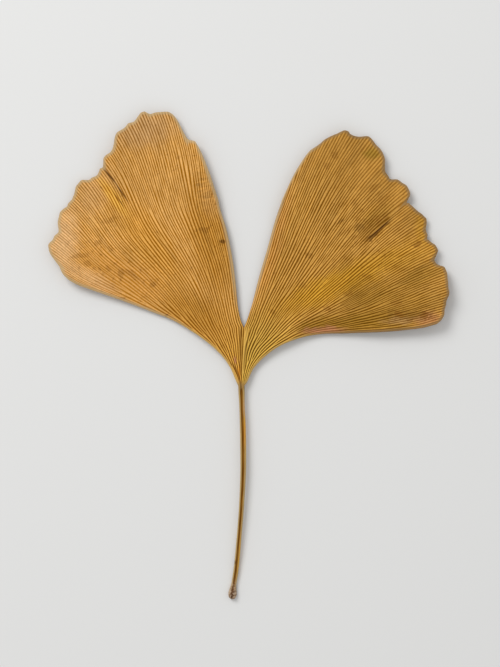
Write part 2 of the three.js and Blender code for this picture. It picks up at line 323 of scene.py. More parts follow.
LEFT_LOBE = LobeOutline(
    guide=((2.0, 0.0), (9.0, -1.2), (16.0, -2.6), (26.0, -4.4), (36.0, -5.6), (64.0, -6.0)),
    inner_points=(
        CLEFT, (-1.9, 8.6), (-2.6, 12.4), (-3.1, 17.6), (-3.7, 22.4), (-5.2, 29.9), (-7.2, 37.2),
    ),
    corner_guide=(-7.7, 52.2),
    outer_points=(
        (-2.5, -7.2), (-3.0, -6.1), (-4.0, -3.7), (-5.4, -1.3), (-7.6, 1.2), (-10.4, 3.6),
        (-13.9, 6.0), (-17.6, 8.2), (-23.5, 10.6), (-30.7, 13.3), (-37.9, 15.8), (-41.5, 17.2),
        (-43.2, 18.2),
    ),
    far_points=(
        (-7.2, 37.2), (-9.6, 44.4), (-11.6, 49.2), (-12.4, 50.7), (-12.8, 51.3),
        (-14.2, 51.7), (-14.8, 52.2), (-15.6, 53.6), (-17.1, 56.4),
        (-17.9, 57.5), (-18.6, 58.1), (-19.4, 58.46), (-21.2, 58.4), (-22.3, 58.2), (-23.4, 57.9),
        (-24.0, 58.0), (-25.0, 58.4), (-25.6, 58.2), (-26.3, 57.5), (-27.1, 56.4), (-27.6, 56.0),
        (-28.7, 55.7), (-29.5, 54.8), (-30.6, 54.0), (-31.4, 53.4), (-31.8, 52.7), (-32.3, 50.5),
        (-32.7, 49.3), (-33.2, 48.5), (-34.0, 48.0), (-34.6, 47.2), (-34.7, 46.2), (-35.0, 45.0),
        (-35.5, 44.8), (-35.9, 44.0), (-36.7, 43.1), (-37.9, 42.3), (-40.2, 41.9), (-41.1, 40.9),
        (-41.6, 39.7), (-42.0, 38.3), (-42.4, 37.3), (-43.2, 36.6), (-43.6, 35.7), (-44.3, 35.3),
        (-45.1, 34.7), (-45.5, 33.2), (-45.7, 32.1), (-45.6, 29.7), (-46.3, 28.7), (-47.1, 27.5),
        (-47.9, 26.5), (-47.9, 25.7), (-47.4, 24.3), (-46.4, 22.8), (-45.2, 21.2), (-44.3, 19.3),
        (-43.2, 18.2),
    ),
    full_radius=64.0,
    sharpness=12.0,
)

RIGHT_LOBE = LobeOutline(
    guide=((2.0, 0.0), (9.0, 2.0), (16.0, 4.4), (26.0, 7.6), (36.0, 9.6), (64.0, 12.5)),
    inner_points=(
        CLEFT, (-0.4, 8.4), (1.0, 12.8), (2.3, 18.0), (4.4, 25.2), (6.4, 32.4), (8.0, 37.2),
    ),
    corner_guide=(12.2, 50.9),
    outer_points=(
        (-0.9, -7.2), (-0.2, -6.1), (0.7, -4.0), (2.2, -1.9), (4.1, -0.1), (6.5, 1.7),
        (10.0, 3.4), (13.1, 4.4), (17.2, 5.1), (23.3, 5.3), (31.6, 5.6), (37.7, 6.1),
        (42.5, 6.8), (44.9, 7.5),
    ),
    far_points=(
        (8.0, 37.2), (10.2, 42.0), (12.2, 45.6), (14.6, 49.0),
        (16.0, 49.9), (17.2, 50.8), (18.2, 51.7), (19.6, 52.4), (21.1, 53.1),
        (23.2, 53.9), (23.9, 53.7), (24.4, 53.1), (25.3, 52.6), (26.2, 52.4), (28.9, 52.6),
        (29.5, 52.0), (30.4, 50.8), (31.3, 49.8), (32.2, 48.6), (32.6, 47.4), (32.7, 45.0),
        (32.9, 43.8), (33.5, 42.9), (34.0, 42.4), (35.8, 42.2), (36.4, 41.8), (37.6, 40.9),
        (38.3, 40.0), (38.7, 39.0), (38.5, 37.9), (38.1, 37.2), (37.9, 36.6), (38.5, 36.5),
        (39.4, 35.7), (40.6, 34.6), (41.8, 33.7), (42.5, 33.0), (42.7, 31.6), (42.6, 30.1),
        (43.0, 28.9), (42.9, 27.9), (43.7, 27.1), (44.8, 26.4), (45.4, 25.2), (45.1, 24.1),
        (44.6, 22.8), (45.1, 22.0), (47.0, 21.0), (47.4, 20.2), (47.6, 18.7), (47.7, 16.6),
        (47.9, 15.7), (47.8, 14.5), (47.3, 13.0), (47.0, 11.2), (46.7, 9.7), (46.1, 8.5),
        (44.9, 7.5),
    ),
    full_radius=46.0,
    sharpness=2.5,
)


# The leaf's relief


@dataclass(frozen=True)
class Crease:
    """A raised or sunken line across the blade."""

    start: Point
    end: Point
    width: float
    height: float

    def lift(self, x: Array, y: Array) -> Array:
        """Return the height that the crease adds.

        Args:
            x: Place to the right, in mm.
            y: Place along the leaf, in mm.

        Returns:
            The height in mm at each place.
        """
        along_x, along_y = self.end[0] - self.start[0], self.end[1] - self.start[1]
        length = math.hypot(along_x, along_y)
        dx, dy = x - self.start[0], y - self.start[1]
        share = (dx * along_x + dy * along_y) / length**2
        beyond = np.maximum(0.0, np.maximum(-share, share - 1.0)) * length
        aside = (along_x * dy - along_y * dx) / length
        return self.height * bell(np.hypot(aside, beyond), self.width)


@dataclass(frozen=True)
class BladeForm:
    """Heights of the dried blade's underside off the floor: its folds, curl and rest spots.

    Lifts, heights, depths and radii are in mm, fold places and angles in degrees of the fan.
    """

    junction_lift: float = 0.9
    middle_lift: float = 0.9
    margin_lift: float = 1.0
    fold_height: float = 0.65
    flutter_height: float = 0.38
    corner_curl: float = 1.5
    trough_depth: float = 0.5
    middle_reach: float = 65.0
    saddle_end: float = 0.45
    left_fold: float = -31.0
    right_fold: float = 40.0
    fold_pitch: float = 13.0
    curl_angle: float = 60.0
    trough_radius: float = 11.0
    trough_width: float = 9.0
    trough_angle: float = 34.0
    flutter_rate: float = 0.62
    flutter_start: float = 0.8
    rest_spots: tuple[Point, ...] = ((-31.0, 35.8), (31.6, 33.0))
    rest_spread: float = 10.0
    rest_sink: float = 0.16
    creases: tuple[Crease, ...] = (
        Crease((-35.2, 45.0), (-30.2, 36.4), 0.9, 0.4),
        Crease((-34.3, 44.8), (-29.2, 36.6), 0.6, -0.28),
        Crease((37.9, 36.6), (29.6, 28.4), 0.9, -0.3),
    )

    def open_lift(self, radius: Array, angle: Array) -> Array:
        """Return the height before the blade is let down on its rest spots.

        Args:
            radius: Fan radius in mm.
            angle: Fan angle in degrees.

        Returns:
            The height in mm.
        """
        spread = radius / self.middle_reach
        turn = np.where(angle < 0.0, angle - self.left_fold, angle - self.right_fold)
        low_middle = smoothstep(0.0, self.saddle_end, spread)
        saddle = mix(self.junction_lift, self.middle_lift, low_middle)
        lift = saddle + self.margin_lift * spread**4
        lift = lift + self.fold_height * spread * np.cos(turn * math.pi / self.fold_pitch)
        lift = lift + self.corner_curl * (np.abs(angle) / self.curl_angle) ** 4 * spread**2
        trough = self.trough_depth * bell(radius - self.trough_radius, self.trough_width)
        lift = lift + trough * (angle / self.trough_angle) ** 2
        for crease in self.creases:
            lift = lift + crease.lift(*FAN.place(radius, angle))
        return lift

    def lift(self, radius: Array, angle: Array, edge: Array) -> Array:
        """Return the height of the underside.

        Args:
            radius: Fan radius.
            angle: Fan angle.
            edge: Share of the way from the cleft's bottom to the far margin.

        Returns:
            The height in mm, below 0 where the floor presses the blade flat.
        """
        x, y = FAN.place(radius, angle)
        lift = self.open_lift(radius, angle)
        flutter = np.sin(angle * self.flutter_rate + self.flutter_start)
        lift = lift + self.flutter_height * edge**5 * flutter
        for spot_x, spot_y in self.rest_spots:
            depth = self.open_lift(*FAN.polar(spot_x, spot_y)) + self.rest_sink
            lift = lift - depth * bell(np.hypot(x - spot_x, y - spot_y), self.rest_spread)
        return lift


class VeinTree:
    """The forking veins of one half of the blade. Each forks once it has the room for it.

    FORK_WIDTH is the room in mm that a vein forks at, and FORK_SCATTER how unlike the veins are
    in that. PARTING and WIDENING are the lengths, as shares of the fork's radius, over which a
    vein's two branches part and take their room. EVENNESS says how far all veins have the same
    room, STRAIGHTNESS how far the lines stay straight for it over the NEIGHBOURS on each side,
    and UNEVENNESS how much their room still varies.
    """

    FIRST_VEINS = 6
    LEVELS = 4
    FORK_WIDTH = 0.85
    FORK_SCATTER = 0.33
    PARTING = 0.16
    WIDENING = 0.42
    EVENNESS = 0.7
    STRAIGHTNESS = 0.6
    NEIGHBOURS = 12
    UNEVENNESS = 0.1
    VARYING_LENGTH = 7.0
    VARYING_RATE = 1.1
    STRAIGHT_FROM = (10.0, 26.0)
    FORK_RADII = (3.0, 74.0, 0.25)
    NEVER = 90.0
    NEXT_FORK = 1.2

    def __init__(self, base: VeinFan, lobe: VeinFan, cleft_radius: float, seed: int) -> None:
        """Find each vein's fork radius.

        Args:
            base: The veins' lines below the cleft.
            lobe: The veins' lines in the lobe.
            cleft_radius: Radius of the cleft's bottom.
            seed: Seed of the forks' scatter.
        """
        self.base, self.lobe, self.cleft_radius = base, lobe, cleft_radius
        self.last_veins = self.FIRST_VEINS * 2**self.LEVELS
        self.wander = SoftNoise(seed + 100)
        draw = np.random.default_rng(seed)
        radii = np.arange(*self.FORK_RADII)
        earliest = np.zeros(self.FIRST_VEINS)
        self.forks: list[Array] = []
        for level in range(self.LEVELS):
            count = self.FIRST_VEINS * 2**level
            edges = np.linspace(0.0, 1.0, count + 1)
            widths = np.array([self.fan(radius).gaps(edges, radius) for radius in radii])
            scatter = draw.uniform(-self.FORK_SCATTER, self.FORK_SCATTER, count)
            roomy = widths > self.FORK_WIDTH * (1.0 + scatter)
            first = np.where(roomy.any(axis=0), radii[roomy.argmax(axis=0)], self.NEVER)
            self.forks.append(np.maximum(first, earliest * self.NEXT_FORK))
            earliest = np.repeat(self.forks[-1], 2)

    def fan(self, radius: float) -> VeinFan:
        """Return the lines that hold at a radius."""
        return self.base if radius < self.cleft_radius else self.lobe

    @staticmethod
    def parted(radius: float, fork: Array, length: float) -> Array:
        """Return 0 before a vein's fork and 1 after it; length is a share of the fork's radius."""
        return smoothstep(-0.5, 0.5, (radius - fork) / (length * fork))

    def crest(self, column: Array, radius: float) -> Array:
        """Return 1 on a vein's crest and 0 in the furrow between two veins.

        Args:
            column: Place across the half, from 0 to 1, along the veins' own lines.
            radius: Fan radius.

        Returns:
            The crest.
        """
        wave = -np.cos(2.0 * math.pi * self.FIRST_VEINS * column)
        for forks in self.forks:
            vein = np.clip((column * len(forks)).astype(int), 0, len(forks) - 1)
            finer = -np.cos(4.0 * math.pi * len(forks) * column)
            wave = mix(wave, finer, self.parted(radius, forks[vein], self.PARTING))
        return 0.5 + 0.5 * wave

    def visible(self, radius: float, length: float) -> Array:
        """Return how many veins the half would hold if all had forked as one branch has.

        Args:
            radius: Fan radius.
            length: Length over which a vein parts, as a share of the fork radius.

        Returns:
            The count for the branch of each of the last level's veins.
        """
        count = np.full(self.last_veins, float(self.FIRST_VEINS))
        for forks in self.forks:
            own = np.repeat(forks, self.last_veins // len(forks))
            count = count * (1.0 + self.parted(radius, own, length))
        return count

    def nearby(self, values: Array) -> Array:
        """Return the mean of each value and its neighbours.

        Args:
            values: The values, in order.

        Returns:
            The means, with the nearest neighbours counting most.
        """
        weights = np.hanning(2 * self.NEIGHBOURS + 3)[1:-1]
        padded = np.pad(values, self.NEIGHBOURS, mode="reflect")
        return np.convolve(padded, weights / np.sum(weights), mode="valid")

    def spread(self, radius: float) -> SmoothCurve:
        """Return where the veins' own lines lie in a row, with about the same room for each.

        Args:
            radius: Fan radius of the row.

        Returns:
            A curve from the place among the veins to the fan's line, both from 0 to 1.
        """
        edges = np.linspace(0.0, 1.0, self.last_veins + 1)
        gaps = self.fan(radius).gaps(edges, radius)
        plain = gaps / np.sum(gaps)
        room = plain * self.last_veins / self.visible(radius, self.WIDENING)
        veins = np.arange(self.last_veins) * self.VARYING_RATE
        wander = 1.0 + self.UNEVENNESS * self.wander(veins, radius / self.VARYING_LENGTH)
        easing = np.maximum(room, 1e-4) ** -self.EVENNESS
        straightness = self.STRAIGHTNESS * smoothstep(*self.STRAIGHT_FROM, radius)
        shares = plain * easing / self.nearby(easing) ** straightness * wander
        wanted = np.concatenate([[0.0], np.cumsum(shares)]) / np.sum(shares)
        place = np.concatenate([[0.0], np.cumsum(plain)])
        wanted[-1] = place[-1] = 1.0
        lines = SmoothCurve(np.stack([place, edges], axis=1))(wanted)
        return SmoothCurve(np.stack([edges, np.clip(lines, 0.0, 1.0)], axis=1))


@dataclass(frozen=True)
class StalkStation:
    """One station along the stalk: its y, the axis's x, the width and the underside's lift."""

    y: float
    x: float
    width: float
    lift: float


# The sheet of rows and columns


@dataclass
class Row:
    """The points of one row, from left to right: places, heights and the finish's marks."""

    x: Array
    y: Array
    top: Array
    bottom: Array
    crest: Array
    line: Array
    radius: Array
    edge: Array
    place: Array
    stalk: Array

    def turned(self) -> "Row":
        """Return the row with its points in the opposite order."""
        return Row(**{name: getattr(self, name)[::-1] for name in self.__dataclass_fields__})


@dataclass
class Sheet:
    """Rows joined into a sheet, and the sheet closed into a solid with two faces and a rim."""

    rows: list[Row] = field(default_factory=list)
    count: int = 0
    faces: list[tuple[int, ...]] = field(default_factory=list)

    def add(self, row: Row) -> Array:
        """Add a row's points.

        Args:
            row: The row.

        Returns:
            The numbers of its points.
        """
        self.rows.append(row)
        numbers = np.arange(self.count, self.count + len(row.x))
        self.count += len(row.x)
        return numbers

    def join(self, near: Array, far: Array) -> None:
        """Join two rows with faces.

        Args:
            near: Numbers of the row nearer to the stalk's foot, from left to right.
            far: Numbers of the next row, with as many cells, or twice as many.
        """
        if len(far) == len(near):
            quads = np.stack([near[:-1], near[1:], far[1:], far[:-1]], axis=1)
            self.faces.extend(map(tuple, quads.tolist()))
            return
        middles = far[1::2]
        lefts = np.stack([near[:-1], middles, far[:-1:2]], axis=1)
        rights = np.stack([near[:-1], near[1:], middles], axis=1)
        ends = np.stack([near[1:], far[2::2], middles], axis=1)
        self.faces.extend(map(tuple, np.concatenate([lefts, rights, ends]).tolist()))

    def values(self, name: str) -> Array:
        """Return one value of every point."""
        return np.concatenate([getattr(row, name) for row in self.rows])

    def rim(self) -> list[tuple[int, int]]:
        """Return the edges that only one face uses.

        Returns:
            Their points' numbers, in that face's direction.
        """
        edges: dict[tuple[int, int], bool] = {}
        for face in self.faces:
            for start, end in zip(face, face[1:] + face[:1]):
                if edges.pop((end, start), None) is None:
                    edges[(start, end)] = True
        return list(edges)

    def solid(self, name: str) -> bpy.types.Object:
        """Close the sheet and return it as an object.

        Args:
            name: Name of the object.

        Returns:
            The closed, smooth-shaded mesh, with the marks as attributes.
        """
        x, y = self.values("x"), self.values("y")
        above = np.stack([x, y, self.values("top")], axis=1)
        below = np.stack([x, y, self.values("bottom")], axis=1)
        faces = list(self.faces)
        faces += [tuple(number + self.count for number in reversed(face)) for face in self.faces]
        for start, end in self.rim():
            faces.append((end, start, start + self.count, end + self.count))
        mesh = bpy.data.meshes.new(name)
        mesh.from_pydata((np.concatenate([above, below]) * METRES).tolist(), [], faces)
        mesh.shade_smooth()
        self.mark(mesh, "vein_marks", ("crest", "line", "radius"))
        self.mark(mesh, "form_marks", ("edge", "place", "stalk"))
        mesh.validate()
        piece = bpy.data.objects.new(name, mesh)
        bpy.context.scene.collection.objects.link(piece)
        return piece

    def mark(self, mesh: bpy.types.Mesh, name: str, values: Sequence[str]) -> None:
        """Store three values of every point as one vector attribute, alike on both faces.

        Args:
            mesh: The mesh.
            name: Name of the attribute.
            values: Names of the rows' values.
        """
        marks = np.stack([self.values(value) for value in values], axis=1)
        attribute = mesh.attributes.new(name, "FLOAT_VECTOR", "POINT")
        attribute.data.foreach_set("vector", np.concatenate([marks, marks]).ravel().astype("f4"))


@dataclass(frozen=True)
class Zone:
    """A stretch of rows with the same number of columns in each half of the leaf."""

    start: float
    stop: float
    rows: int
    columns: int

    def places(self) -> Array:
        """Return the rows' places, with the first at the start and the last short of the stop."""
        return np.linspace(self.start, self.stop, self.rows, endpoint=False)


@dataclass(frozen=True)
class Stalk:
    """The stalk: round below, with a groove between two ridges above, and a swollen foot.

    Places and widths of the grooves, and the scar's width, are shares of the stalk's half width.
    """

    stations: tuple[StalkStation, ...] = (
        StalkStation(-58.46, -3.87, 0.9, 0.02),
        StalkStation(-57.9, -3.87, 1.8, -0.06),
        StalkStation(-57.2, -3.84, 2.0, -0.12),
        StalkStation(-56.2, -3.73, 1.65, -0.12),
        StalkStation(-54.8, -3.5, 1.2, -0.06),
        StalkStation(-51.5, -3.0, 1.16, 0.16),
        StalkStation(-44.0, -2.3, 1.12, 0.62),
        StalkStation(-35.0, -1.6, 1.22, 0.98),
        StalkStation(-26.0, -1.25, 1.38, 1.12),
        StalkStation(-17.5, -1.35, 1.4, 1.08),
        StalkStation(-11.5, -1.57, 1.32, 0.98),
        StalkStation(-8.8, -1.66, 1.5, 0.92),
    )
    thickness: float = 1.1
    foot_thickness: float = 1.4
    groove: float = 0.3
    rim: float = 0.16
    rows: int = 92
    row_crowding: float = 1.3
    half_columns: int = 24
    foot_end: float = 1.2
    foot_fade: float = 4.5
    foot_groove_loss: float = 0.6
    groove_place: float = -0.04
    groove_width: float = 0.42
    groove_colour_width: float = 0.55
    scar_depth: float = 0.34
    scar_width: float = 0.34
    scar_length: float = 1.1
    scar_place: float = 0.2
    striation_height: float = 0.022
    striation_rate: float = 16.0
    lump_height: float = 0.13
    lump_size: float = 0.3
    least_thickness: float = 0.05

    def curve(self, name: str) -> SmoothCurve:
        """Return one of the stations' values as a curve along the stalk."""
        return SmoothCurve([(station.y, getattr(station, name)) for station in self.stations])

    def build(self, sheet: Sheet) -> list[Array]:
        """Add the stalk's rows to the sheet.

        Args:
            sheet: The sheet.

        Returns:
            The numbers of each row's points, from the foot to the blade.
        """
        axis, width, lift = self.curve("x"), self.curve("width"), self.curve("lift")
        striae = SoftNoise(5)
        column = np.arange(2 * self.half_columns + 1) / self.half_columns - 1.0
        place = np.sin(column * math.pi / 2.0)
        foot_y, head_y = self.stations[0].y, self.stations[-1].y
        rows = []
        for share in np.linspace(0.0, 1.0, self.rows):
            y = mix(foot_y, head_y, share**self.row_crowding)
            foot = 1.0 - smoothstep(foot_y + self.foot_end, foot_y + self.foot_fade, y)
            slant = (axis(y + 0.1) - axis(y - 0.1)) / 0.2
            offset = place * width(y) / 2.0
            thickness = mix(self.thickness, self.foot_thickness, foot)
            arch = np.sqrt(np.maximum(0.0, 1.0 - place**2))
            half = mix(self.rim / 2.0, thickness / 2.0, arch)
            middle = lift(y) + thickness / 2.0
            sunk = np.maximum(0.0, half - middle)
            groove = self.groove * bell(place - self.groove_place, self.groove_width)
            groove = groove * (1.0 - self.foot_groove_loss * foot)
            scar = self.scar_depth * bell(place, self.scar_width)
            scar = scar * bell(y - foot_y - self.scar_place, self.scar_length)
            striation = striae(place * self.striation_rate + 3.0, y * 0.25) * (1.0 - foot)
            lumps = self.lump_height * striae(offset / self.lump_size, y / self.lump_size)
            top = middle + half + sunk - groove - scar
            top = top + self.striation_height * striation + lumps * foot * arch
            top = np.maximum(top, np.maximum(0.0, middle - half) + self.least_thickness)
            rows.append(sheet.add(Row(
                x=axis(y) + offset,
                y=y - offset * slant,
                top=top,
                bottom=np.maximum(0.0, middle - half),
                crest=1.0 - bell(place - self.groove_place, self.groove_colour_width),
                line=place * 0.5,
                radius=np.full_like(place, y - FAN.centre[1]),
                edge=(1.0 - np.abs(place)) * width(y) / 2.0,
                place=place,
                stalk=np.ones_like(place),
            )))
        return rows


@dataclass(frozen=True)
class Blade:
    """The blade: its flared base and two lobes, with forking veins and a thin rounded rim.

    Places and widths of the midrib and the furrow are shares of the half's width.
    """

    form: BladeForm = BladeForm()
    thickness: float = 0.36
    stalk_thickness: float = 1.1
    rim: float = 0.1
    rim_width: float = 0.55
    vein_rise: float = 0.2
    vein_rise_most: float = 0.13
    under_vein_rise: float = 0.35
    base_rim: float = 0.34
    base_rim_reach: float = 26.0
    midrib: float = 0.22
    midrib_place: float = 0.02
    midrib_width: float = 0.1
    midrib_end: float = 13.0
    junction_furrow: float = 0.3
    junction_furrow_place: float = -0.1
    junction_furrow_width: float = 0.2
    wrinkle_height: float = 0.05
    wrinkle_size: float = 2.2
    crinkle_height: float = 0.035
    crinkle_size: float = 0.9
    tooth_height: float = 0.07
    tooth_rate: float = 190.0
    slant_most: float = 5.0
    base_zones: tuple[Zone, ...] = (
        Zone(2.3, 4.6, 8, 48),
        Zone(4.6, 13.2, 23, 96),
        Zone(13.2, 16.2, 6, 192),
    )
    lobe_zones: tuple[Zone, ...] = (
        Zone(0.012, 0.2, 12, 192),
        Zone(0.2, 1.0, 34, 384),
    )
    rim_rows: tuple[float, ...] = (0.62, 0.42, 0.26, 0.13, 0.05, 0.0)

    @staticmethod
    def veins(outline: LobeOutline, side: int) -> VeinTree:
        """Return the veins of the left (-1) or the right (+1) half."""
        cleft_radius = float(FAN.polar(*CLEFT)[0])
        return VeinTree(outline.base_fan(), outline.lobe_fan(), cleft_radius, seed=31 + side)

    def relief(
        self, column: Array, radius: float, width: Array, tree: VeinTree
    ) -> tuple[Array, Array]:
        """Return the veins' crests and how far they rise.

        Args:
            column: Place along the veins' own lines, from 0 to 1.
            radius: Fan radius, on the scale of the veins' forks.
            width: Width of the half or lobe along an arc.
            tree: The half's veins.

        Returns:
            The crest, from 0 to 1, and the rise in mm.
        """
        crest = tree.crest(column, radius)
        line = np.clip((column * tree.last_veins).astype(int), 0, tree.last_veins - 1)
        pitch = width / tree.visible(radius, tree.PARTING)[line]
        return crest, np.minimum(pitch * self.vein_rise, self.vein_rise_most) * crest

    def make_row(
        self, radius: Array, angle: Array, edge_share: Array, place: Array, roundness: float,
        crest: Array, rise: Array, line: Array, edge: Array, extra: Array,
    ) -> Row:
        """Return a row of the blade.

        Args:
            radius: Fan radius.
            angle: Fan angle.
            edge_share: Share of the way from the cleft's bottom to the far margin.
            place: Place across the leaf, from -1 to 1.
            roundness: 1 for the stalk's round section and 0 for the flat blade's.
            crest: The veins' crests.
            rise: The veins' rise.
            line: Number of the vein's line, for the finish.
            edge: Distance from the nearest margin.
            extra: What rims and the midrib add to the upper face.

        Returns:
            The row.
        """
        x, y = FAN.place(radius, angle)
        lift = self.form.lift(radius, angle, edge_share)
        full = mix(self.stalk_thickness, self.thickness, smoothstep(2.0, 10.0, radius))
        thin = smoothstep(0.0, self.rim_width, edge)
        arch = np.sqrt(np.maximum(0.0, 1.0 - place**2))
        flat_half = mix(self.rim, full, thin) / 2.0
        half = mix(flat_half, mix(self.rim / 2.0, full / 2.0, arch), roundness)
        middle = np.maximum(lift, 0.0) + full / 2.0
        size, fine_size = self.wrinkle_size, self.crinkle_size
        wrinkle = self.wrinkle_height * CRINKLE(x / size, y / size)
        wrinkle = wrinkle + self.crinkle_height * CRINKLE(y / fine_size, -x / fine_size)
        loose = smoothstep(0.0, 0.6, lift) * smoothstep(8.0, 18.0, radius)
        middle = middle + wrinkle * loose
        bottom = middle - half - self.under_vein_rise * rise * thin
        return Row(
            x=x, y=y,
            top=middle + half + (rise + extra) * thin,
            bottom=np.maximum(0.0, bottom),
            crest=crest, line=line, radius=radius, edge=edge, place=place,
            stalk=1.0 - smoothstep(1.6, 4.6, radius),
        )

    def build_base(self, sheet: Sheet) -> list[Array]:
        """Add the rows between the stalk and the cleft.

        Args:
            sheet: The sheet.

        Returns:
            The numbers of each row's points. The last row is the one at the cleft.
        """
        cleft_radius = float(FAN.polar(*CLEFT)[0])
        trees = {-1: self.veins(LEFT_LOBE, -1), 1: self.veins(RIGHT_LOBE, 1)}
        stretches = [(place, zone.columns) for zone in self.base_zones for place in zone.places()]
        rows = []
        for radius, columns in stretches + [(cleft_radius, self.base_zones[-1].columns)]:
            roundness = float(1.0 - smoothstep(2.0, 9.0, radius))
            fanned = float(smoothstep(3.0, 8.0, radius))
            halves = {}
            for side, tree in trees.items():
                column = np.linspace(0.0, 1.0, columns + 1)
                fan = tree.base
                line = tree.spread(radius - 1e-6)(column)
                across = mix(column, fan.across(line, radius), fanned)
                across = mix(across, np.sin(across * math.pi / 2.0), roundness)
                angle = fan.angle(across, radius)
                width = float(fan.width(radius))
                crest, rise = self.relief(column, radius, width, tree)
                halves[side] = (across * side, angle, crest, rise, column * tree.last_veins, width)
            place, angle, crest, rise, line = (
                np.concatenate([halves[-1][i][:0:-1], halves[1][i]]) for i in range(5)
            )
            width = np.where(place < 0.0, halves[-1][5], halves[1][5])
            edge = (1.0 - np.abs(place)) * width
            rims = self.base_rim * np.abs(place) ** 10 * smoothstep(2.0, 6.0, radius)
            rims = rims * bell(radius, self.base_rim_reach)
            midrib = self.midrib * bell(place - self.midrib_place, self.midrib_width)
            midrib = midrib * smoothstep(5.0, 8.0, radius)
            midrib = midrib * (1.0 - smoothstep(self.midrib_end, cleft_radius, radius))
            furrow = bell(place - self.junction_furrow_place, self.junction_furrow_width)
            furrow = -self.junction_furrow * furrow * (1.0 - smoothstep(3.0, 6.0, radius))
            rise = rise * smoothstep(4.0, 8.5, radius)
            rows.append(sheet.add(self.make_row(
                np.full_like(place, radius), angle, np.zeros_like(place), place, roundness,
                crest, rise, np.sign(place) * line, edge, rims + midrib + furrow,
            )))
        return rows

    def build_lobe(
        self, sheet: Sheet, outline: LobeOutline, side: int, start: Array
    ) -> list[Array]:
        """Add the rows of one lobe.

        Args:
            sheet: The sheet.
            outline: The lobe's margins.
            side: -1 for the left lobe and 1 for the right one.
            start: Numbers of this lobe's half of the row at the cleft, from left to right.

        Returns:
            The numbers of each row's points, from the cleft to the far margin.
        """
        fan, reach, tree = outline.lobe_fan(), outline.reach(), self.veins(outline, side)
        cleft_radius, middle_reach = tree.cleft_radius, self.form.middle_reach

        def far_margin(line: Array) -> tuple[Array, Array]:
            """Return the far margin.

            Args:
                line: The veins' lines, from 0 to 1.

            Returns:
                Its radius at each line, and its slant: 1 where it crosses the veins squarely.
            """
            teeth = MARGIN_TEETH(line * self.tooth_rate, side * 9.0)
            radius = reach(line) + teeth * self.tooth_height
            angle = fan.angle(fan.across(line, radius), radius)
            along = radius * np.radians(np.gradient(angle))
            slant = np.hypot(1.0, np.gradient(radius) / along)
            return radius, np.minimum(slant, self.slant_most)

        stretches = [(share, zone.columns) for zone in self.lobe_zones for share in zone.places()]
        last_columns = self.lobe_zones[-1].columns
        stretches += [(1.0 + step, last_columns) for step in range(len(self.rim_rows))]
        rows = [start]
        for step, columns in stretches:
            share = min(step, 1.0)
            station = mix(cleft_radius, middle_reach, share)
            column = np.linspace(0.0, 1.0, columns + 1)
            line = tree.spread(station)(column)
            far, slant = far_margin(line)
            last = far - self.rim_rows[0] * slant
            radius = station + (last - middle_reach) * share**2
            if step >= 1.0:
                radius = far - self.rim_rows[int(step - 1.0)] * slant
            across = fan.across(line, radius)
            angle = fan.angle(across, radius)
            width = fan.width(radius)
            crest, rise = self.relief(column, station, width, tree)
            beside = np.minimum(across, 1.0 - across) * width
            edge = np.minimum(beside, (far - radius) / slant)
            rims = self.base_rim * across**30 * bell(radius, self.base_rim_reach)
            row = self.make_row(
                radius, angle, np.full_like(radius, share), np.zeros_like(radius), 0.0,
                crest, rise, side * column * tree.last_veins, edge, rims,
            )
            row.place = side * across
            row = row.turned() if side < 0 else row
            rows.append(sheet.add(row))
        return rows


CRINKLE = SoftNoise(17)
MARGIN_TEETH = SoftNoise(23)


# Shader maths


class Signal:
    """A value, a colour or a vector on its way through a material's nodes."""

    def __init__(self, board: "NodeBoard", socket: bpy.types.NodeSocket) -> None:
        """Wrap an output socket of a node that stands on the board."""
        self.board = board
        self.socket = socket

    def maths(self, operation: str, *values: "Wire") -> "Signal":
        """Return the result of a Math node on this value and others."""
        return self.board.make("ShaderNodeMath", {"operation": operation}, [self, *values])

    def __add__(self, other: "Wire") -> "Signal":
        """Return the sum."""
        return self.maths("ADD", other)

    __radd__ = __add__

    def __sub__(self, other: "Wire") -> "Signal":
        """Return the difference."""
        return self.maths("SUBTRACT", other)

    def __rsub__(self, other: "Wire") -> "Signal":
        """Return the difference from a number."""
        return self.board.make("ShaderNodeMath", {"operation": "SUBTRACT"}, [other, self])

    def __mul__(self, other: "Wire") -> "Signal":
        """Return the product."""
        return self.maths("MULTIPLY", other)

    __rmul__ = __mul__

    def __neg__(self) -> "Signal":
        """Return the value with its sign turned."""
        return self.maths("MULTIPLY", -1.0)

    def size(self) -> "Signal":
        """Return the value without its sign."""
        return self.maths("ABSOLUTE")

    def most(self, other: "Wire") -> "Signal":
        """Return the larger of two values."""
        return self.maths("MAXIMUM", other)

    def rise(self, low: float, high: float) -> "Signal":
        """Return 0 at low and 1 at high, with a soft rise between them.

        Args:
            low: The value that gives 0. It may be the larger of the two.
            high: The value that gives 1.

        Returns:
            The rise.
        """
        settings = {"interpolation_type": "SMOOTHSTEP"}
        swap = low > high
        values = {"Value": self, "From Min": min(low, high), "From Max": max(low, high)}
        values.update({"To Min": 1.0 if swap else 0.0, "To Max": 0.0 if swap else 1.0})
        return self.board.make("ShaderNodeMapRange", settings, values)

    def bell(self, middle: float, width: float) -> "Signal":
        """Return 1 at the middle, falling off smoothly over about the given width."""
        offset = (self - middle) * (1.0 / width)
        return (-(offset * offset)).maths("EXPONENT")


Wire = Union[Signal, float, Sequence[float]]


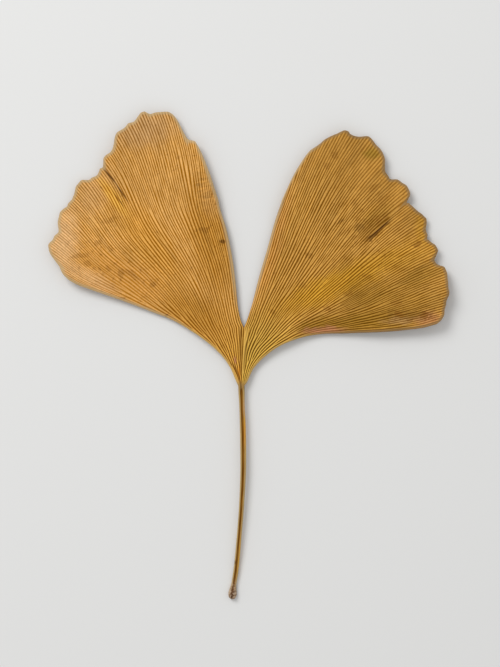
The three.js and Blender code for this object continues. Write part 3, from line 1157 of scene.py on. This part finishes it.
class NodeBoard:
    """The node tree of one material."""

    def __init__(self, name: str) -> None:
        """Start a material with an empty node tree.

        Args:
            name: Name of the material.
        """
        self.material = bpy.data.materials.new(name)
        self.material.use_nodes = True
        self.tree = self.material.node_tree
        self.tree.nodes.clear()

    def make(
        self, kind: str, settings: Mapping[str, object],
        values: Union[Sequence[Wire], Mapping[Union[str, int], Wire]], output: Union[str, int] = 0,
    ) -> Signal:
        """Add a node.

        Args:
            kind: The node's type.
            settings: Its settings, which are set first.
            values: Numbers or signals for its input sockets, by order, name or number.
            output: Name or number of the output socket to return.

        Returns:
            The signal at that output socket.
        """
        node = self.tree.nodes.new(kind)
        for name, setting in settings.items():
            setattr(node, name, setting)
        pairs = values.items() if isinstance(values, Mapping) else enumerate(values)
        for key, value in pairs:
            if isinstance(value, Signal):
                self.tree.links.new(value.socket, node.inputs[key])
            else:
                node.inputs[key].default_value = value
        return Signal(self, node.outputs[output])

    def marks(self, name: str) -> tuple[Signal, Signal, Signal]:
        """Return the three values of a vector attribute of the mesh.

        Args:
            name: Name of the attribute.

        Returns:
            Its x, y and z.
        """
        vector = self.make("ShaderNodeAttribute", {"attribute_name": name}, [], "Vector")
        parts = [self.make("ShaderNodeSeparateXYZ", {}, [vector], axis) for axis in "XYZ"]
        return parts[0], parts[1], parts[2]

    def vector(self, x: Wire, y: Wire, z: Wire) -> Signal:
        """Return a vector made of three values."""
        return self.make("ShaderNodeCombineXYZ", {}, [x, y, z])

    def place(self) -> Signal:
        """Return the place on the leaf.

        Returns:
            x and y in mm, with 1 in the place of z.
        """
        metres = self.make("ShaderNodeTexCoord", {}, [], "Object")
        settings = {"operation": "MULTIPLY_ADD"}
        scale, shift = (1.0 / METRES, 1.0 / METRES, 0.0), (0.0, 0.0, 1.0)
        return self.make("ShaderNodeVectorMath", settings, [metres, scale, shift])

    def dot(self, vector: Signal, other: Sequence[float]) -> Signal:
        """Return the dot product of two vectors."""
        settings = {"operation": "DOT_PRODUCT"}
        return self.make("ShaderNodeVectorMath", settings, [vector, other], "Value")

    def noise(self, place: Signal, scale: float, detail: float, roughness: float) -> Signal:
        """Return noise around 0.5, with features about 1 / scale across."""
        values = {"Vector": place, "Scale": scale, "Detail": detail, "Roughness": roughness}
        return self.make("ShaderNodeTexNoise", {}, values)

    def blend(self, share: Signal, low: Wire, high: Wire) -> Signal:
        """Return two colours mixed.

        Args:
            share: How much of the second colour shows, from 0 to 1.
            low: The first colour.
            high: The second colour.

        Returns:
            The mixed colour.
        """
        settings = {"data_type": "RGBA", "blend_type": "MIX", "clamp_factor": True}
        sockets = {0: share, 6: self.full(low), 7: self.full(high)}
        return self.make("ShaderNodeMix", settings, sockets, 2)

    @staticmethod
    def full(colour: Wire) -> Wire:
        """Return a colour with its alpha, or a signal as it is."""
        return colour if isinstance(colour, Signal) else (*colour, 1.0)

    def scaled(self, colour: Signal, factor: Signal) -> Signal:
        """Return a colour made lighter or darker by a factor."""
        values = {0: colour, "Scale": factor}
        return self.make("ShaderNodeVectorMath", {"operation": "SCALE"}, values)

    def shaded(self, colour: Signal, noise: Signal, depth: float) -> Signal:
        """Return a colour made lighter and darker by noise around 0.5, up to a depth."""
        return self.scaled(colour, (1.0 - depth / 2.0) + depth * noise)

    def bump(self, height: Signal, strength: float, distance: float) -> Signal:
        """Return a normal bent by a height."""
        values = {"Strength": strength, "Distance": distance, "Height": height}
        return self.make("ShaderNodeBump", {}, values, "Normal")

    def finish(
        self, constants: Mapping[str, object], links: Mapping[str, Signal]
    ) -> bpy.types.Material:
        """Close the tree with a Principled shader.

        Args:
            constants: Values that are the same all over, by socket.
            links: Signals, by socket.

        Returns:
            The material.
        """
        shader = self.tree.nodes.new("ShaderNodeBsdfPrincipled")
        for name, value in constants.items():
            shader.inputs[name].default_value = value
        for name, signal in links.items():
            self.tree.links.new(signal.socket, shader.inputs[name])
        output = self.tree.nodes.new("ShaderNodeOutputMaterial")
        self.tree.links.new(shader.outputs["BSDF"], output.inputs["Surface"])
        return self.material


# The leaf's finish


Tissue = tuple[Colour, Colour]


class Tint(Enum):
    """Tints of the dried blade, each as the colour of the veins and of the furrows between: partly
    the tissue's own colour, partly a painted highlight on the veins and painted shade in the
    furrows.
    """

    LEFT = (tone(236, 181, 106), tone(160, 102, 4))
    # The right lobe's tint is darker: partly its own colour, partly painted shade where the light
    # falls off.
    RIGHT = (tone(219, 165, 82), tone(128, 79, 0))
    LEFT_BASE = (tone(239, 180, 74), tone(104, 56, 0))
    RIGHT_BASE = (tone(234, 188, 82), tone(88, 56, 0))
    PEACH = (tone(216, 156, 84), tone(186, 126, 38))
    PALE = (tone(244, 200, 148), tone(204, 154, 94))
    GOLD = (tone(228, 168, 80), tone(154, 96, 0))
    AMBER = (tone(206, 150, 66), tone(136, 82, 0))
    YELLOW = (tone(222, 166, 50), tone(138, 88, 0))
    # Painted highlight: the lit raised side of the left lobe's fold.
    PAINTED_FOLD_HIGHLIGHT = (tone(250, 196, 92), tone(172, 104, 8))
    DUSTY = (tone(208, 168, 122), tone(150, 108, 58))
    ORANGE = (tone(232, 168, 92), tone(150, 92, 12))
    DEEP_ORANGE = (tone(220, 148, 52), tone(176, 104, 16))
    UMBER = (tone(176, 131, 50), tone(104, 67, 0))
    OLIVE = (tone(172, 138, 48), tone(104, 78, 2))
    PINK = (tone(200, 138, 104), tone(158, 100, 60))
    BROWN = (tone(154, 102, 38), tone(98, 56, 4))
    DARK_BROWN = (tone(98, 60, 22), tone(66, 36, 8))


SOFT_EDGE: Span = (1.25, 0.25)
BROKEN_EDGE: Span = (1.15, 0.75)
BROKEN_DEPTH = 2.4


@dataclass(frozen=True)
class Patch:
    """A soft-edged patch of another tint: its middle, its two half-widths, turn and strength."""

    tint: Tint
    middle: Point
    half: Point
    strength: float
    turn: float = 0.0

    def mask(self, board: NodeBoard, place: Signal, mottle: Wire = 0.0) -> Signal:
        """Return how strongly the patch shows at each place.

        Args:
            board: The material's nodes.
            place: Place on the leaf in mm, with 1 in the place of z.
            mottle: Noise around 0.5, which gives the patch a broken edge, or 0 for none.

        Returns:
            The mask, from 0 to the patch's strength.
        """
        x, y = self.middle
        turn = math.radians(self.turn)
        parts = []
        for part_turn, half in zip((turn, turn + math.pi / 2.0), self.half):
            part = np.array((math.cos(part_turn), math.sin(part_turn), 0.0))
            part[2] = -(part[0] * x + part[1] * y)
            parts.append(board.dot(place, tuple(map(float, part / half))))
        distance = parts[0].maths("MULTIPLY_ADD", parts[0], parts[1] * parts[1]).maths("SQRT")
        if isinstance(mottle, Signal):
            broken = distance + (mottle - 0.5) * BROKEN_DEPTH
            return broken.rise(*BROKEN_EDGE) * self.strength
        return distance.rise(*SOFT_EDGE) * self.strength


def streak(tint: Tint, start: Point, end: Point, half_width: float, strength: float) -> Patch:
    """Return a long narrow patch.

    Args:
        tint: The patch's tint.
        start: Its one end in mm.
        end: Its other end in mm.
        half_width: Its half-width in mm.
        strength: How strongly it shows.

    Returns:
        The patch.
    """
    along = (end[0] - start[0], end[1] - start[1])
    middle = ((start[0] + end[0]) / 2.0, (start[1] + end[1]) / 2.0)
    turn = math.degrees(math.atan2(along[1], along[0]))
    return Patch(tint, middle, (math.hypot(*along) / 2.0, half_width), strength, turn)


BROAD_PATCHES = (
    Patch(Tint.PEACH, (-31.0, 19.0), (16.0, 7.0), 0.75, -20.0),
    Patch(Tint.PALE, (-37.0, 39.0), (4.5, 7.5), 0.3, -38.0),
    Patch(Tint.UMBER, (-27.0, 24.5), (4.5, 3.0), 0.25),
    Patch(Tint.PALE, (-44.6, 27.5), (4.4, 10.0), 0.75, -4.0),
    Patch(Tint.PALE, (-38.5, 18.6), (9.0, 2.6), 0.5, -28.0),
    streak(Tint.GOLD, (-35.0, 41.0), (-13.0, 14.0), 5.5, 0.8),
    Patch(Tint.AMBER, (-9.0, 27.0), (6.0, 18.0), 0.9, 12.0),
    Patch(Tint.PALE, (-9.4, 37.0), (2.6, 5.0), 0.12, 14.0),
    Patch(Tint.AMBER, (-12.5, 9.5), (12.0, 6.0), 0.9, -30.0),
    Patch(Tint.ORANGE, (5.2, 27.0), (3.4, 17.0), 0.6, -16.0),
    streak(Tint.YELLOW, (4.0, 9.4), (38.0, 24.6), 4.2, 0.75),
    streak(Tint.YELLOW, (28.0, 20.4), (48.0, 28.0), 4.6, 0.35),
    Patch(Tint.YELLOW, (41.5, 31.0), (2.2, 4.5), 0.45),
    Patch(Tint.UMBER, (36.0, 12.5), (12.0, 5.0), 0.55, 8.0),
    Patch(Tint.UMBER, (41.0, 19.0), (7.0, 3.0), 0.65, 15.0),
    Patch(Tint.UMBER, (28.5, 14.6), (9.0, 4.0), 0.6, 22.0),
    Patch(Tint.UMBER, (27.5, 8.0), (15.0, 3.4), 0.95, 3.0),
    Patch(Tint.UMBER, (15.5, 6.6), (5.0, 2.6), 0.8, 10.0),
    # Painted shadow: a broad brown darkening beside the right lobe's fold.
    Patch(Tint.UMBER, (31.0, 32.6), (6.0, 4.0), 0.5, 42.0),
    Patch(Tint.PINK, (18.0, 5.9), (6.0, 1.1), 0.8, 3.0),
    Patch(Tint.PINK, (43.0, 8.6), (3.5, 2.0), 0.5, 12.0),
    Patch(Tint.DUSTY, (36.5, 8.4), (5.5, 1.1), 0.35, 4.0),
    Patch(Tint.OLIVE, (29.6, 48.6), (2.6, 1.8), 0.6),
    Patch(Tint.DUSTY, (-25.0, 54.4), (9.5, 5.6), 0.6, 10.0),
)

# Painted fold light: along each fold, a painted highlight band on its raised side and painted
# shadow lines (dark brown and brown) where the fold shades the blade, in both lobes.
PAINTED_FOLD_LIGHT_AND_BASE_TINTS = (
    streak(Tint.PAINTED_FOLD_HIGHLIGHT, (-36.8, 43.8), (-28.6, 33.0), 1.6, 0.95),
    streak(Tint.DARK_BROWN, (-35.0, 45.2), (-31.6, 41.0), 0.27, 0.95),
    streak(Tint.DARK_BROWN, (-32.2, 41.8), (-29.0, 37.0), 0.24, 0.85),
    streak(Tint.BROWN, (-32.6, 39.4), (-29.6, 35.2), 0.24, 0.8),
    streak(Tint.DARK_BROWN, (28.8, 27.8), (34.6, 33.2), 0.3, 0.9),
    streak(Tint.DARK_BROWN, (27.0, 27.0), (35.4, 33.2), 0.24, 0.6),
    streak(Tint.BROWN, (29.2, 30.2), (34.6, 35.0), 0.26, 0.6),
    # The base's own orange and pink tints.
    Patch(Tint.DEEP_ORANGE, (-2.3, -4.0), (0.5, 1.5), 0.7, 8.0),
    Patch(Tint.PINK, (-3.2, -1.1), (0.35, 1.1), 0.8, 8.0),
)

STAINS = (
    Patch(Tint.BROWN, (-40.6, 23.9), (2.4, 0.6), 0.32, 6.0),
    Patch(Tint.BROWN, (-39.0, 22.3), (0.9, 0.6), 0.36),
    Patch(Tint.BROWN, (-30.9, 20.0), (1.1, 0.9), 0.37, 20.0),
    Patch(Tint.BROWN, (-28.0, 19.6), (1.9, 0.7), 0.36, -35.0),
    Patch(Tint.BROWN, (-23.1, 17.3), (1.0, 0.8), 0.4, -50.0),
    Patch(Tint.BROWN, (-36.0, 26.9), (0.9, 0.7), 0.36),
    Patch(Tint.BROWN, (-33.6, 32.6), (1.9, 0.7), 0.28, 20.0),
    Patch(Tint.BROWN, (-10.6, 30.5), (1.9, 0.6), 0.48, 25.0),
    Patch(Tint.DARK_BROWN, (-6.2, 27.3), (0.45, 0.5), 0.72),
    Patch(Tint.DARK_BROWN, (-19.6, 9.4), (0.8, 0.35), 0.64, 25.0),
    Patch(Tint.BROWN, (-30.3, 13.6), (0.9, 0.4), 0.48, 20.0),
    Patch(Tint.BROWN, (-16.4, 47.2), (0.7, 0.5), 0.32),
    Patch(Tint.BROWN, (29.8, 30.4), (5.0, 2.0), 0.32, 42.0),
    Patch(Tint.DARK_BROWN, (26.6, 31.0), (1.2, 0.9), 0.32, 40.0),
    Patch(Tint.DARK_BROWN, (29.6, 28.6), (1.4, 0.5), 0.48, 42.0),
    Patch(Tint.BROWN, (32.2, 36.8), (2.6, 1.2), 0.28, 42.0),
    Patch(Tint.DARK_BROWN, (22.1, 32.3), (0.5, 0.8), 0.4, -30.0),
    Patch(Tint.BROWN, (20.5, 48.4), (0.9, 1.0), 0.4),
    Patch(Tint.BROWN, (18.8, 45.7), (0.8, 1.0), 0.32),
    Patch(Tint.BROWN, (30.4, 40.2), (1.7, 0.8), 0.28, 40.0),
    Patch(Tint.BROWN, (25.6, 36.6), (0.9, 1.0), 0.28),
    Patch(Tint.BROWN, (40.6, 26.6), (1.2, 0.8), 0.6, 30.0),
    Patch(Tint.BROWN, (23.6, 15.0), (1.2, 0.7), 0.4),
    Patch(Tint.BROWN, (18.8, 11.4), (0.9, 0.7), 0.4),
    Patch(Tint.BROWN, (35.4, 12.6), (1.2, 0.8), 0.32),
    Patch(Tint.BROWN, (28.0, 19.3), (1.0, 0.7), 0.32),
    Patch(Tint.BROWN, (13.1, 16.7), (0.9, 0.9), 0.36),
    Patch(Tint.DARK_BROWN, (38.8, 9.7), (6.5, 1.3), 0.28),
    Patch(Tint.BROWN, (14.4, 24.0), (0.7, 0.7), 0.4),
    Patch(Tint.BROWN, (6.0, 10.4), (0.7, 0.7), 0.4),
    Patch(Tint.BROWN, (42.4, 9.6), (1.3, 1.0), 0.6),
    Patch(Tint.BROWN, (36.0, 9.9), (1.0, 0.7), 0.5),
    Patch(Tint.BROWN, (38.6, 8.6), (0.9, 0.5), 0.5),
)

STALK_PATCHES = (
    Patch(Tint.DUSTY, (-1.0, -12.4), (0.4, 2.8), 0.8),
    Patch(Tint.DEEP_ORANGE, (-0.9, -18.4), (0.45, 4.2), 0.35),
    Patch(Tint.DARK_BROWN, (-3.2, -49.6), (0.4, 0.7), 0.6),
)

BLOTCHED = (
    Patch(Tint.BROWN, (-33.0, 21.0), (15.0, 7.0), 0.5, -24.0),
    Patch(Tint.BROWN, (29.0, 28.0), (11.0, 15.0), 0.4),
)

# The wrinkled patch: its ripples bend the normal, and the colour is painted lighter and darker
# with them.
RIPPLES = Patch(Tint.PALE, (-10.2, 39.6), (3.0, 6.0), 1.0, 14.0)


class Grain(Enum):
    """Even noises on the leaf: scale per mm, number of finer layers, and the layers' strength."""

    SURFACE = (2.6, 3.0, 0.5)
    TISSUE = (2.2, 3.0, 0.65)
    CLOUD = (0.11, 2.0, 0.5)
    WARP = (0.45, 2.0, 0.5)
    MOTTLE = (1.5, 3.0, 0.65)
    BLOTCH = (0.75, 3.0, 0.7)
    SPECKLE = (1.2, 3.0, 0.65)
    FOOT = (1.9, 3.0, 0.65)

    def on(self, board: NodeBoard, place: Signal) -> Signal:
        """Return the noise at a place on the leaf."""
        return board.noise(place, *self.value)


class Fibre(Enum):
    """Noises drawn out along the leaf: scales across and along it, start, layers and strength."""

    SURFACE = (2.6, 0.35, 0.0, 3.0, 0.5)
    STREAK = (0.42, 0.09, 3.0, 3.0, 0.55)
    FINE = (1.7, 0.28, 8.0, 2.0, 0.6)
    RIPPLE = (0.1, 1.1, 6.0, 1.0, 0.5)
    STALK = (5.0, 0.25, 5.0, 3.0, 0.5)

    def on(self, board: NodeBoard, across: Signal, along: Signal) -> Signal:
        """Return the noise.

        Args:
            board: The material's nodes.
            across: Number of the vein's line, or place across the stalk.
            along: Radius in mm.

        Returns:
            The noise, around 0.5.
        """
        fineness, length_scale, start, detail, roughness = self.value
        drawn_out = board.vector(across * fineness, along * length_scale, start)
        return board.noise(drawn_out, 1.0, detail, roughness)


@dataclass(frozen=True)
class LeafFinish:
    """Dry leaf tissue: light veins over darker furrows, partly painted highlight and shade, with
    tints, stains, painted fold light and a pale rim.

    Fields in pairs are the values at which something starts to show and shows in full. They are
    radii and distances in mm, places across the leaf from -1 to 1, or levels of noise.
    """

    midrib: Colour = tone(230, 184, 94)
    midrib_furrow: Colour = tone(104, 62, 6)
    margin_ridge: Colour = tone(206, 170, 100)
    junction_groove: Colour = tone(98, 56, 14)
    left_rim: Colour = tone(188, 162, 120)
    # The right rim is darker: partly its own colour, partly painted shade where the light falls
    # off.
    right_rim: Colour = tone(144, 116, 78)
    stalk_ridge: Colour = tone(178, 150, 98)
    stalk_gold: Colour = tone(206, 158, 66)
    stalk_groove: Colour = tone(108, 66, 12)
    stalk_flank: Colour = tone(150, 104, 34)
    foot_colour: Colour = tone(184, 160, 134)
    foot_dark: Colour = tone(92, 60, 34)
    roughness: float = 0.62
    roughness_noise: float = 0.22
    furrow_roughness: float = 0.06
    bump_strength: float = 0.4
    bump_height: float = 0.00012
    ripple_bump: Span = (0.4, 5.0)
    stalk_blend: Span = (0.1, 1.0)
    stripe_edge: Span = (0.1, 0.9)
    stripe_wander: float = 1.1
    side_blend: Span = (-0.12, 0.12)
    fade_radius: Span = (50.0, 62.0)
    fade: float = 0.4
    base_radius: Span = (26.0, 9.0)
    base_strength: float = 0.85
    patch_warp: Point = (3.0, -2.2)
    cloud_depth: float = 0.24
    streak_depth: float = 0.56
    grain_depth: float = 0.6
    ripple_shade_depth: float = 1.1
    blotch_level: Span = (0.56, 0.66)
    speckle_level: Span = (0.62, 0.7)
    speckle_strength: float = 0.45
    midline_scale: float = 0.55
    midline_start: Span = (3.6, 6.0)
    midline_end: Span = (17.0, 15.0)
    margin_ridge_band: Span = (0.6, 0.35)
    rim_band: Span = (0.95, 0.25)
    rim_start: Span = (18.0, 30.0)
    foot_start: Span = (-43.0, -47.6)

    def material(self) -> bpy.types.Material:
        """Return the material.

        Returns:
            The leaf's material, for blade and stalk alike.
        """
        board = NodeBoard("dry_leaf_tissue")
        crest, line, radius = board.marks("vein_marks")
        edge, across, stalk = board.marks("form_marks")
        place = board.place()
        blade = self.blade_colour(board, place, crest, line, radius, edge, across)
        stem = self.stalk_colour(board, place, crest, radius, across)
        colour = board.blend(stalk.rise(*self.stalk_blend), blade, stem)
        fibres = Fibre.SURFACE.on(board, line, radius)
        grain = Grain.SURFACE.on(board, place)
        all_over, rippled = self.ripple_bump
        ripples = Fibre.RIPPLE.on(board, line, radius)
        height = ripples * (all_over + RIPPLES.mask(board, place) * rippled)
        height = fibres * 0.5 + grain * 0.5 + height
        normal = board.bump(height, self.bump_strength, self.bump_height)
        roughness = self.roughness + (fibres - 0.5) * self.roughness_noise
        roughness = roughness + (1.0 - crest) * self.furrow_roughness
        constants = {"IOR": 1.42, "Specular IOR Level": 0.04}
        links = {"Base Color": colour, "Roughness": roughness, "Normal": normal}
        return board.finish(constants, links)

    def blade_colour(
        self, board: NodeBoard, place: Signal, crest: Signal, line: Signal, radius: Signal,
        edge: Signal, across: Signal,
    ) -> Signal:
        """Return the blade's colour.

        Args:
            board: The material's nodes.
            place: Place on the leaf in mm, with 1 in the place of z.
            crest: 1 on a vein and 0 between two.
            line: Number of the vein's line, negative in the left half.
            radius: Fan radius in mm.
            edge: Distance from the nearest margin in mm.
            across: Place across the leaf, from -1 to 1.

        Returns:
            The colour.
        """
        grain = Grain.TISSUE.on(board, place)
        fine = Fibre.FINE.on(board, line, radius)
        # Painted vein light: the stripe sets the veins' paler colour, which carries a painted
        # highlight, against the furrows' darker colour, which carries painted shade; the rest is
        # the tissue's own colour.
        stripe = (crest + (fine - 0.5) * self.stripe_wander).rise(*self.stripe_edge)
        right = across.rise(*self.side_blend)
        faded = right * radius.rise(*self.fade_radius) * self.fade
        stripe = stripe + (0.5 - stripe) * faded
        # The right lobe's darker tints are partly its own colour, partly painted shade where the
        # light falls off.
        left_lobe = self.tissue(board, stripe, Tint.LEFT)
        lobes = board.blend(right, left_lobe, self.tissue(board, stripe, Tint.RIGHT))
        left_base = self.tissue(board, stripe, Tint.LEFT_BASE)
        base = board.blend(right, left_base, self.tissue(board, stripe, Tint.RIGHT_BASE))
        colour = board.blend(radius.rise(*self.base_radius) * self.base_strength, lobes, base)
        warp = Grain.WARP.on(board, place) - 0.5
        shift = board.vector(warp * self.patch_warp[0], warp * self.patch_warp[1], 0.0)
        wavering = board.make("ShaderNodeVectorMath", {"operation": "ADD"}, [place, shift])
        for patch in BROAD_PATCHES:
            tinted = self.tissue(board, stripe, patch.tint)
            colour = board.blend(patch.mask(board, wavering), colour, tinted)
        colour = board.shaded(colour, Grain.CLOUD.on(board, place), self.cloud_depth)
        streaks = Fibre.STREAK.on(board, line, radius)
        colour = board.shaded(colour, streaks, self.streak_depth)
        colour = board.shaded(colour, grain, self.grain_depth)
        # Painted light and shade on the wrinkled patch: the colour grows lighter and darker with
        # the same ripples that bend the normal.
        ripples = Fibre.RIPPLE.on(board, line, radius)
        rippled = (ripples - 0.5) * RIPPLES.mask(board, place) * self.ripple_shade_depth
        colour = board.scaled(colour, 1.0 + rippled)
        mottle = Grain.MOTTLE.on(board, place)
        for stain in STAINS:
            mask = stain.mask(board, wavering, mottle)
            colour = board.blend(mask, colour, self.tissue(board, stripe, stain.tint))
        # Painted fold highlights and shadows, then the base's own orange and pink tints.
        for crease in PAINTED_FOLD_LIGHT_AND_BASE_TINTS:
            mask = crease.mask(board, place)
            colour = board.blend(mask, colour, self.tissue(board, stripe, crease.tint))
        left, right_area = (patch.mask(board, place) for patch in BLOTCHED)
        blotches = Grain.BLOTCH.on(board, place).rise(*self.blotch_level) * left.most(right_area)
        speckle = Grain.SPECKLE.on(board, place).rise(*self.speckle_level)
        specks = blotches.most(speckle * self.speckle_strength)
        colour = board.blend(specks, colour, self.tissue(board, stripe, Tint.BROWN))
        aside = across * radius * self.midline_scale
        below = radius.rise(*self.midline_start) * radius.rise(*self.midline_end)
        furrows = aside.bell(-0.3, 0.2).most(aside.bell(0.86, 0.13) * 0.8)
        colour = board.blend(furrows * below * 0.65, colour, self.midrib_furrow)
        colour = board.blend(aside.bell(0.4, 0.18) * below * 0.7, colour, self.midrib)
        groove = (across + (radius - 0.6) * 0.1).bell(0.0, 0.13) * radius.rise(10.0, 6.0)
        colour = board.blend(groove * 0.8, colour, self.junction_groove)
        ridge = edge.rise(*self.margin_ridge_band) * radius.rise(34.0, 14.0)
        ridge = ridge * across.size().rise(0.4, 0.6) * 0.8
        colour = board.blend(ridge, colour, self.margin_ridge)
        rim = edge.rise(*self.rim_band) * (0.55 + 0.5 * grain) * radius.rise(*self.rim_start)
        # Darker right rim: partly its own colour, partly painted shade.
        rim_colour = board.blend(across.rise(0.03, 0.1), self.left_rim, self.right_rim)
        return board.blend(rim, colour, rim_colour)

    @staticmethod
    def tissue(board: NodeBoard, stripe: Signal, tint: Tint) -> Signal:
        """Return a tint's colour, lighter on the veins than in the furrows, partly as painted
        highlight and shade.
        """
        veins, furrows = tint.value
        return board.blend(stripe, furrows, veins)

    def stalk_colour(
        self, board: NodeBoard, place: Signal, crest: Signal, radius: Signal, across: Signal
    ) -> Signal:
        """Return the stalk's colour.

        Args:
            board: The material's nodes.
            place: Place on the leaf in mm, with 1 in the place of z.
            crest: 1 on the stalk's ridges and 0 in its groove.
            radius: Distance along the stalk from the fan's centre, below 0 on the stalk.
            across: Place across the stalk, from -1 to 1.

        Returns:
            The colour.
        """
        streaks = Fibre.STALK.on(board, across, radius)
        zones = radius.bell(-38.5, 5.0).most(radius.bell(-8.0, 6.0))
        gold = across.rise(0.2, 0.7) * zones
        ridge = board.blend(gold, self.stalk_ridge, self.stalk_gold)
        line = (across + 0.22).bell(0.0, 0.2) * 0.8
        flank = (streaks.rise(0.35, 0.65) * (1.0 - line)).most(gold * 0.6)
        groove = board.blend(flank, self.stalk_groove, self.stalk_flank)
        colour = board.blend(crest.rise(0.3, 0.72), groove, ridge)
        colour = board.shaded(colour, streaks, self.grain_depth)
        for patch in STALK_PATCHES:
            tinted = self.tissue(board, crest, patch.tint)
            colour = board.blend(patch.mask(board, place), colour, tinted)
        foot = radius.rise(*self.foot_start)
        blotch = Grain.FOOT.on(board, place)
        knob = (crest * 0.35 + (blotch - 0.5) * 1.9 + 0.3).rise(0.15, 0.75)
        return board.blend(foot, colour, board.blend(knob, self.foot_dark, self.foot_colour))


@dataclass(frozen=True)
class FloorFinish:
    """A plain pale matt floor."""

    colour: Colour = (0.78, 0.78, 0.77)
    roughness: float = 0.9

    def material(self) -> bpy.types.Material:
        """Return the material.

        Returns:
            The floor's material.
        """
        board = NodeBoard("pale_floor")
        constants = {"Base Color": (*self.colour, 1.0), "Roughness": self.roughness}
        return board.finish({**constants, "Specular IOR Level": 0.1}, {})


# The pieces and the studio


@dataclass(frozen=True)
class GinkgoLeaf:
    """The whole leaf, blade and stalk in one piece."""

    name: str = "leaf_blade_and_stalk"
    stalk: Stalk = Stalk()
    blade: Blade = Blade()
    finish: LeafFinish = LeafFinish()

    def build(self) -> bpy.types.Object:
        """Build the leaf, dress it and put it in the place of the plain solid.

        Returns:
            The leaf.
        """
        sheet = Sheet()
        stem = self.stalk.build(sheet)
        base = self.blade.build_base(sheet)
        cleft_row = base[-1]
        middle = (len(cleft_row) - 1) // 2
        left = self.blade.build_lobe(sheet, LEFT_LOBE, -1, cleft_row[: middle + 1])
        right = self.blade.build_lobe(sheet, RIGHT_LOBE, 1, cleft_row[middle:])
        for rows in (stem + base, left, right):
            for near, far in zip(rows, rows[1:]):
                sheet.join(near, far)
        piece = sheet.solid(self.name)
        piece.data.materials.append(self.finish.material())
        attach(piece, "root")
        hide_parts("leaf")
        return piece


@dataclass(frozen=True)
class Studio:
    """A pale floor, soft lights and the camera, straight above the leaf."""

    floor_size: float = 2.4
    picture_middle: Point = (0.36, 5.28)
    picture_height: float = 160.08
    lens: float = 100.0
    film_height: float = 36.0
    focus_height: float = 1.2
    key_power: float = 4.2
    key_place: tuple[float, float, float] = (-0.42, 0.5, 0.62)
    key_size: float = 0.5
    sky: float = 0.62

    def build(self) -> None:
        """Make the floor, the lights and the camera."""
        self.make_floor()
        self.make_light("key", self.key_place, self.key_power, self.key_size)
        self.make_camera()
        world = bpy.data.worlds.new("soft_sky")
        bpy.context.scene.world = world
        world.use_nodes = True
        background = world.node_tree.nodes["Background"]
        background.inputs["Color"].default_value = (1.0, 1.0, 1.0, 1.0)
        background.inputs["Strength"].default_value = self.sky
        bpy.context.scene.view_settings.view_transform = "Standard"

    def make_floor(self) -> None:
        """Make the pale floor that the leaf lies on."""
        half = self.floor_size / 2.0
        corners = [(-half, -half, 0.0), (half, -half, 0.0), (half, half, 0.0), (-half, half, 0.0)]
        mesh = bpy.data.meshes.new("pale_floor")
        mesh.from_pydata(corners, [], [(0, 1, 2, 3)])
        mesh.materials.append(FloorFinish().material())
        floor = bpy.data.objects.new("pale_floor", mesh)
        bpy.context.scene.collection.objects.link(floor)

    @staticmethod
    def make_light(name: str, place: Sequence[float], power: float, size: float) -> None:
        """Make one soft light that points at the leaf.

        Args:
            name: The light's name.
            place: Where it hangs, in metres.
            power: Its power in watts.
            size: Its side in metres.
        """
        data = bpy.data.lights.new(name, "AREA")
        data.energy = power
        data.shape = "DISK"
        data.size = size
        light = bpy.data.objects.new(name, data)
        light.location = place
        across = math.hypot(place[0], place[1])
        light.rotation_euler = (math.atan2(across, place[2]), 0.0, math.atan2(place[0], -place[1]))
        bpy.context.scene.collection.objects.link(light)

    def make_camera(self) -> None:
        """Make the camera, straight above, so that the picture holds what the photo holds."""
        data = bpy.data.cameras.new("camera")
        data.lens = self.lens
        data.sensor_fit = "VERTICAL"
        data.sensor_height = self.film_height
        camera = bpy.data.objects.new("camera", data)
        distance = self.picture_height * self.lens / self.film_height
        x, y = self.picture_middle
        camera.location = (x * METRES, y * METRES, (distance + self.focus_height) * METRES)
        bpy.context.scene.collection.objects.link(camera)
        bpy.context.scene.camera = camera


def main() -> None:
    """Build the studio and the leaf, and report the piece."""
    logging.basicConfig(level=logging.INFO, format="%(name)s: %(message)s")
    Studio().build()
    leaf = GinkgoLeaf().build()
    leaf.data.calc_loop_triangles()
    LOG.info("%s: %d triangles", leaf.name, len(leaf.data.loop_triangles))


if __name__ == "__main__":
    main()
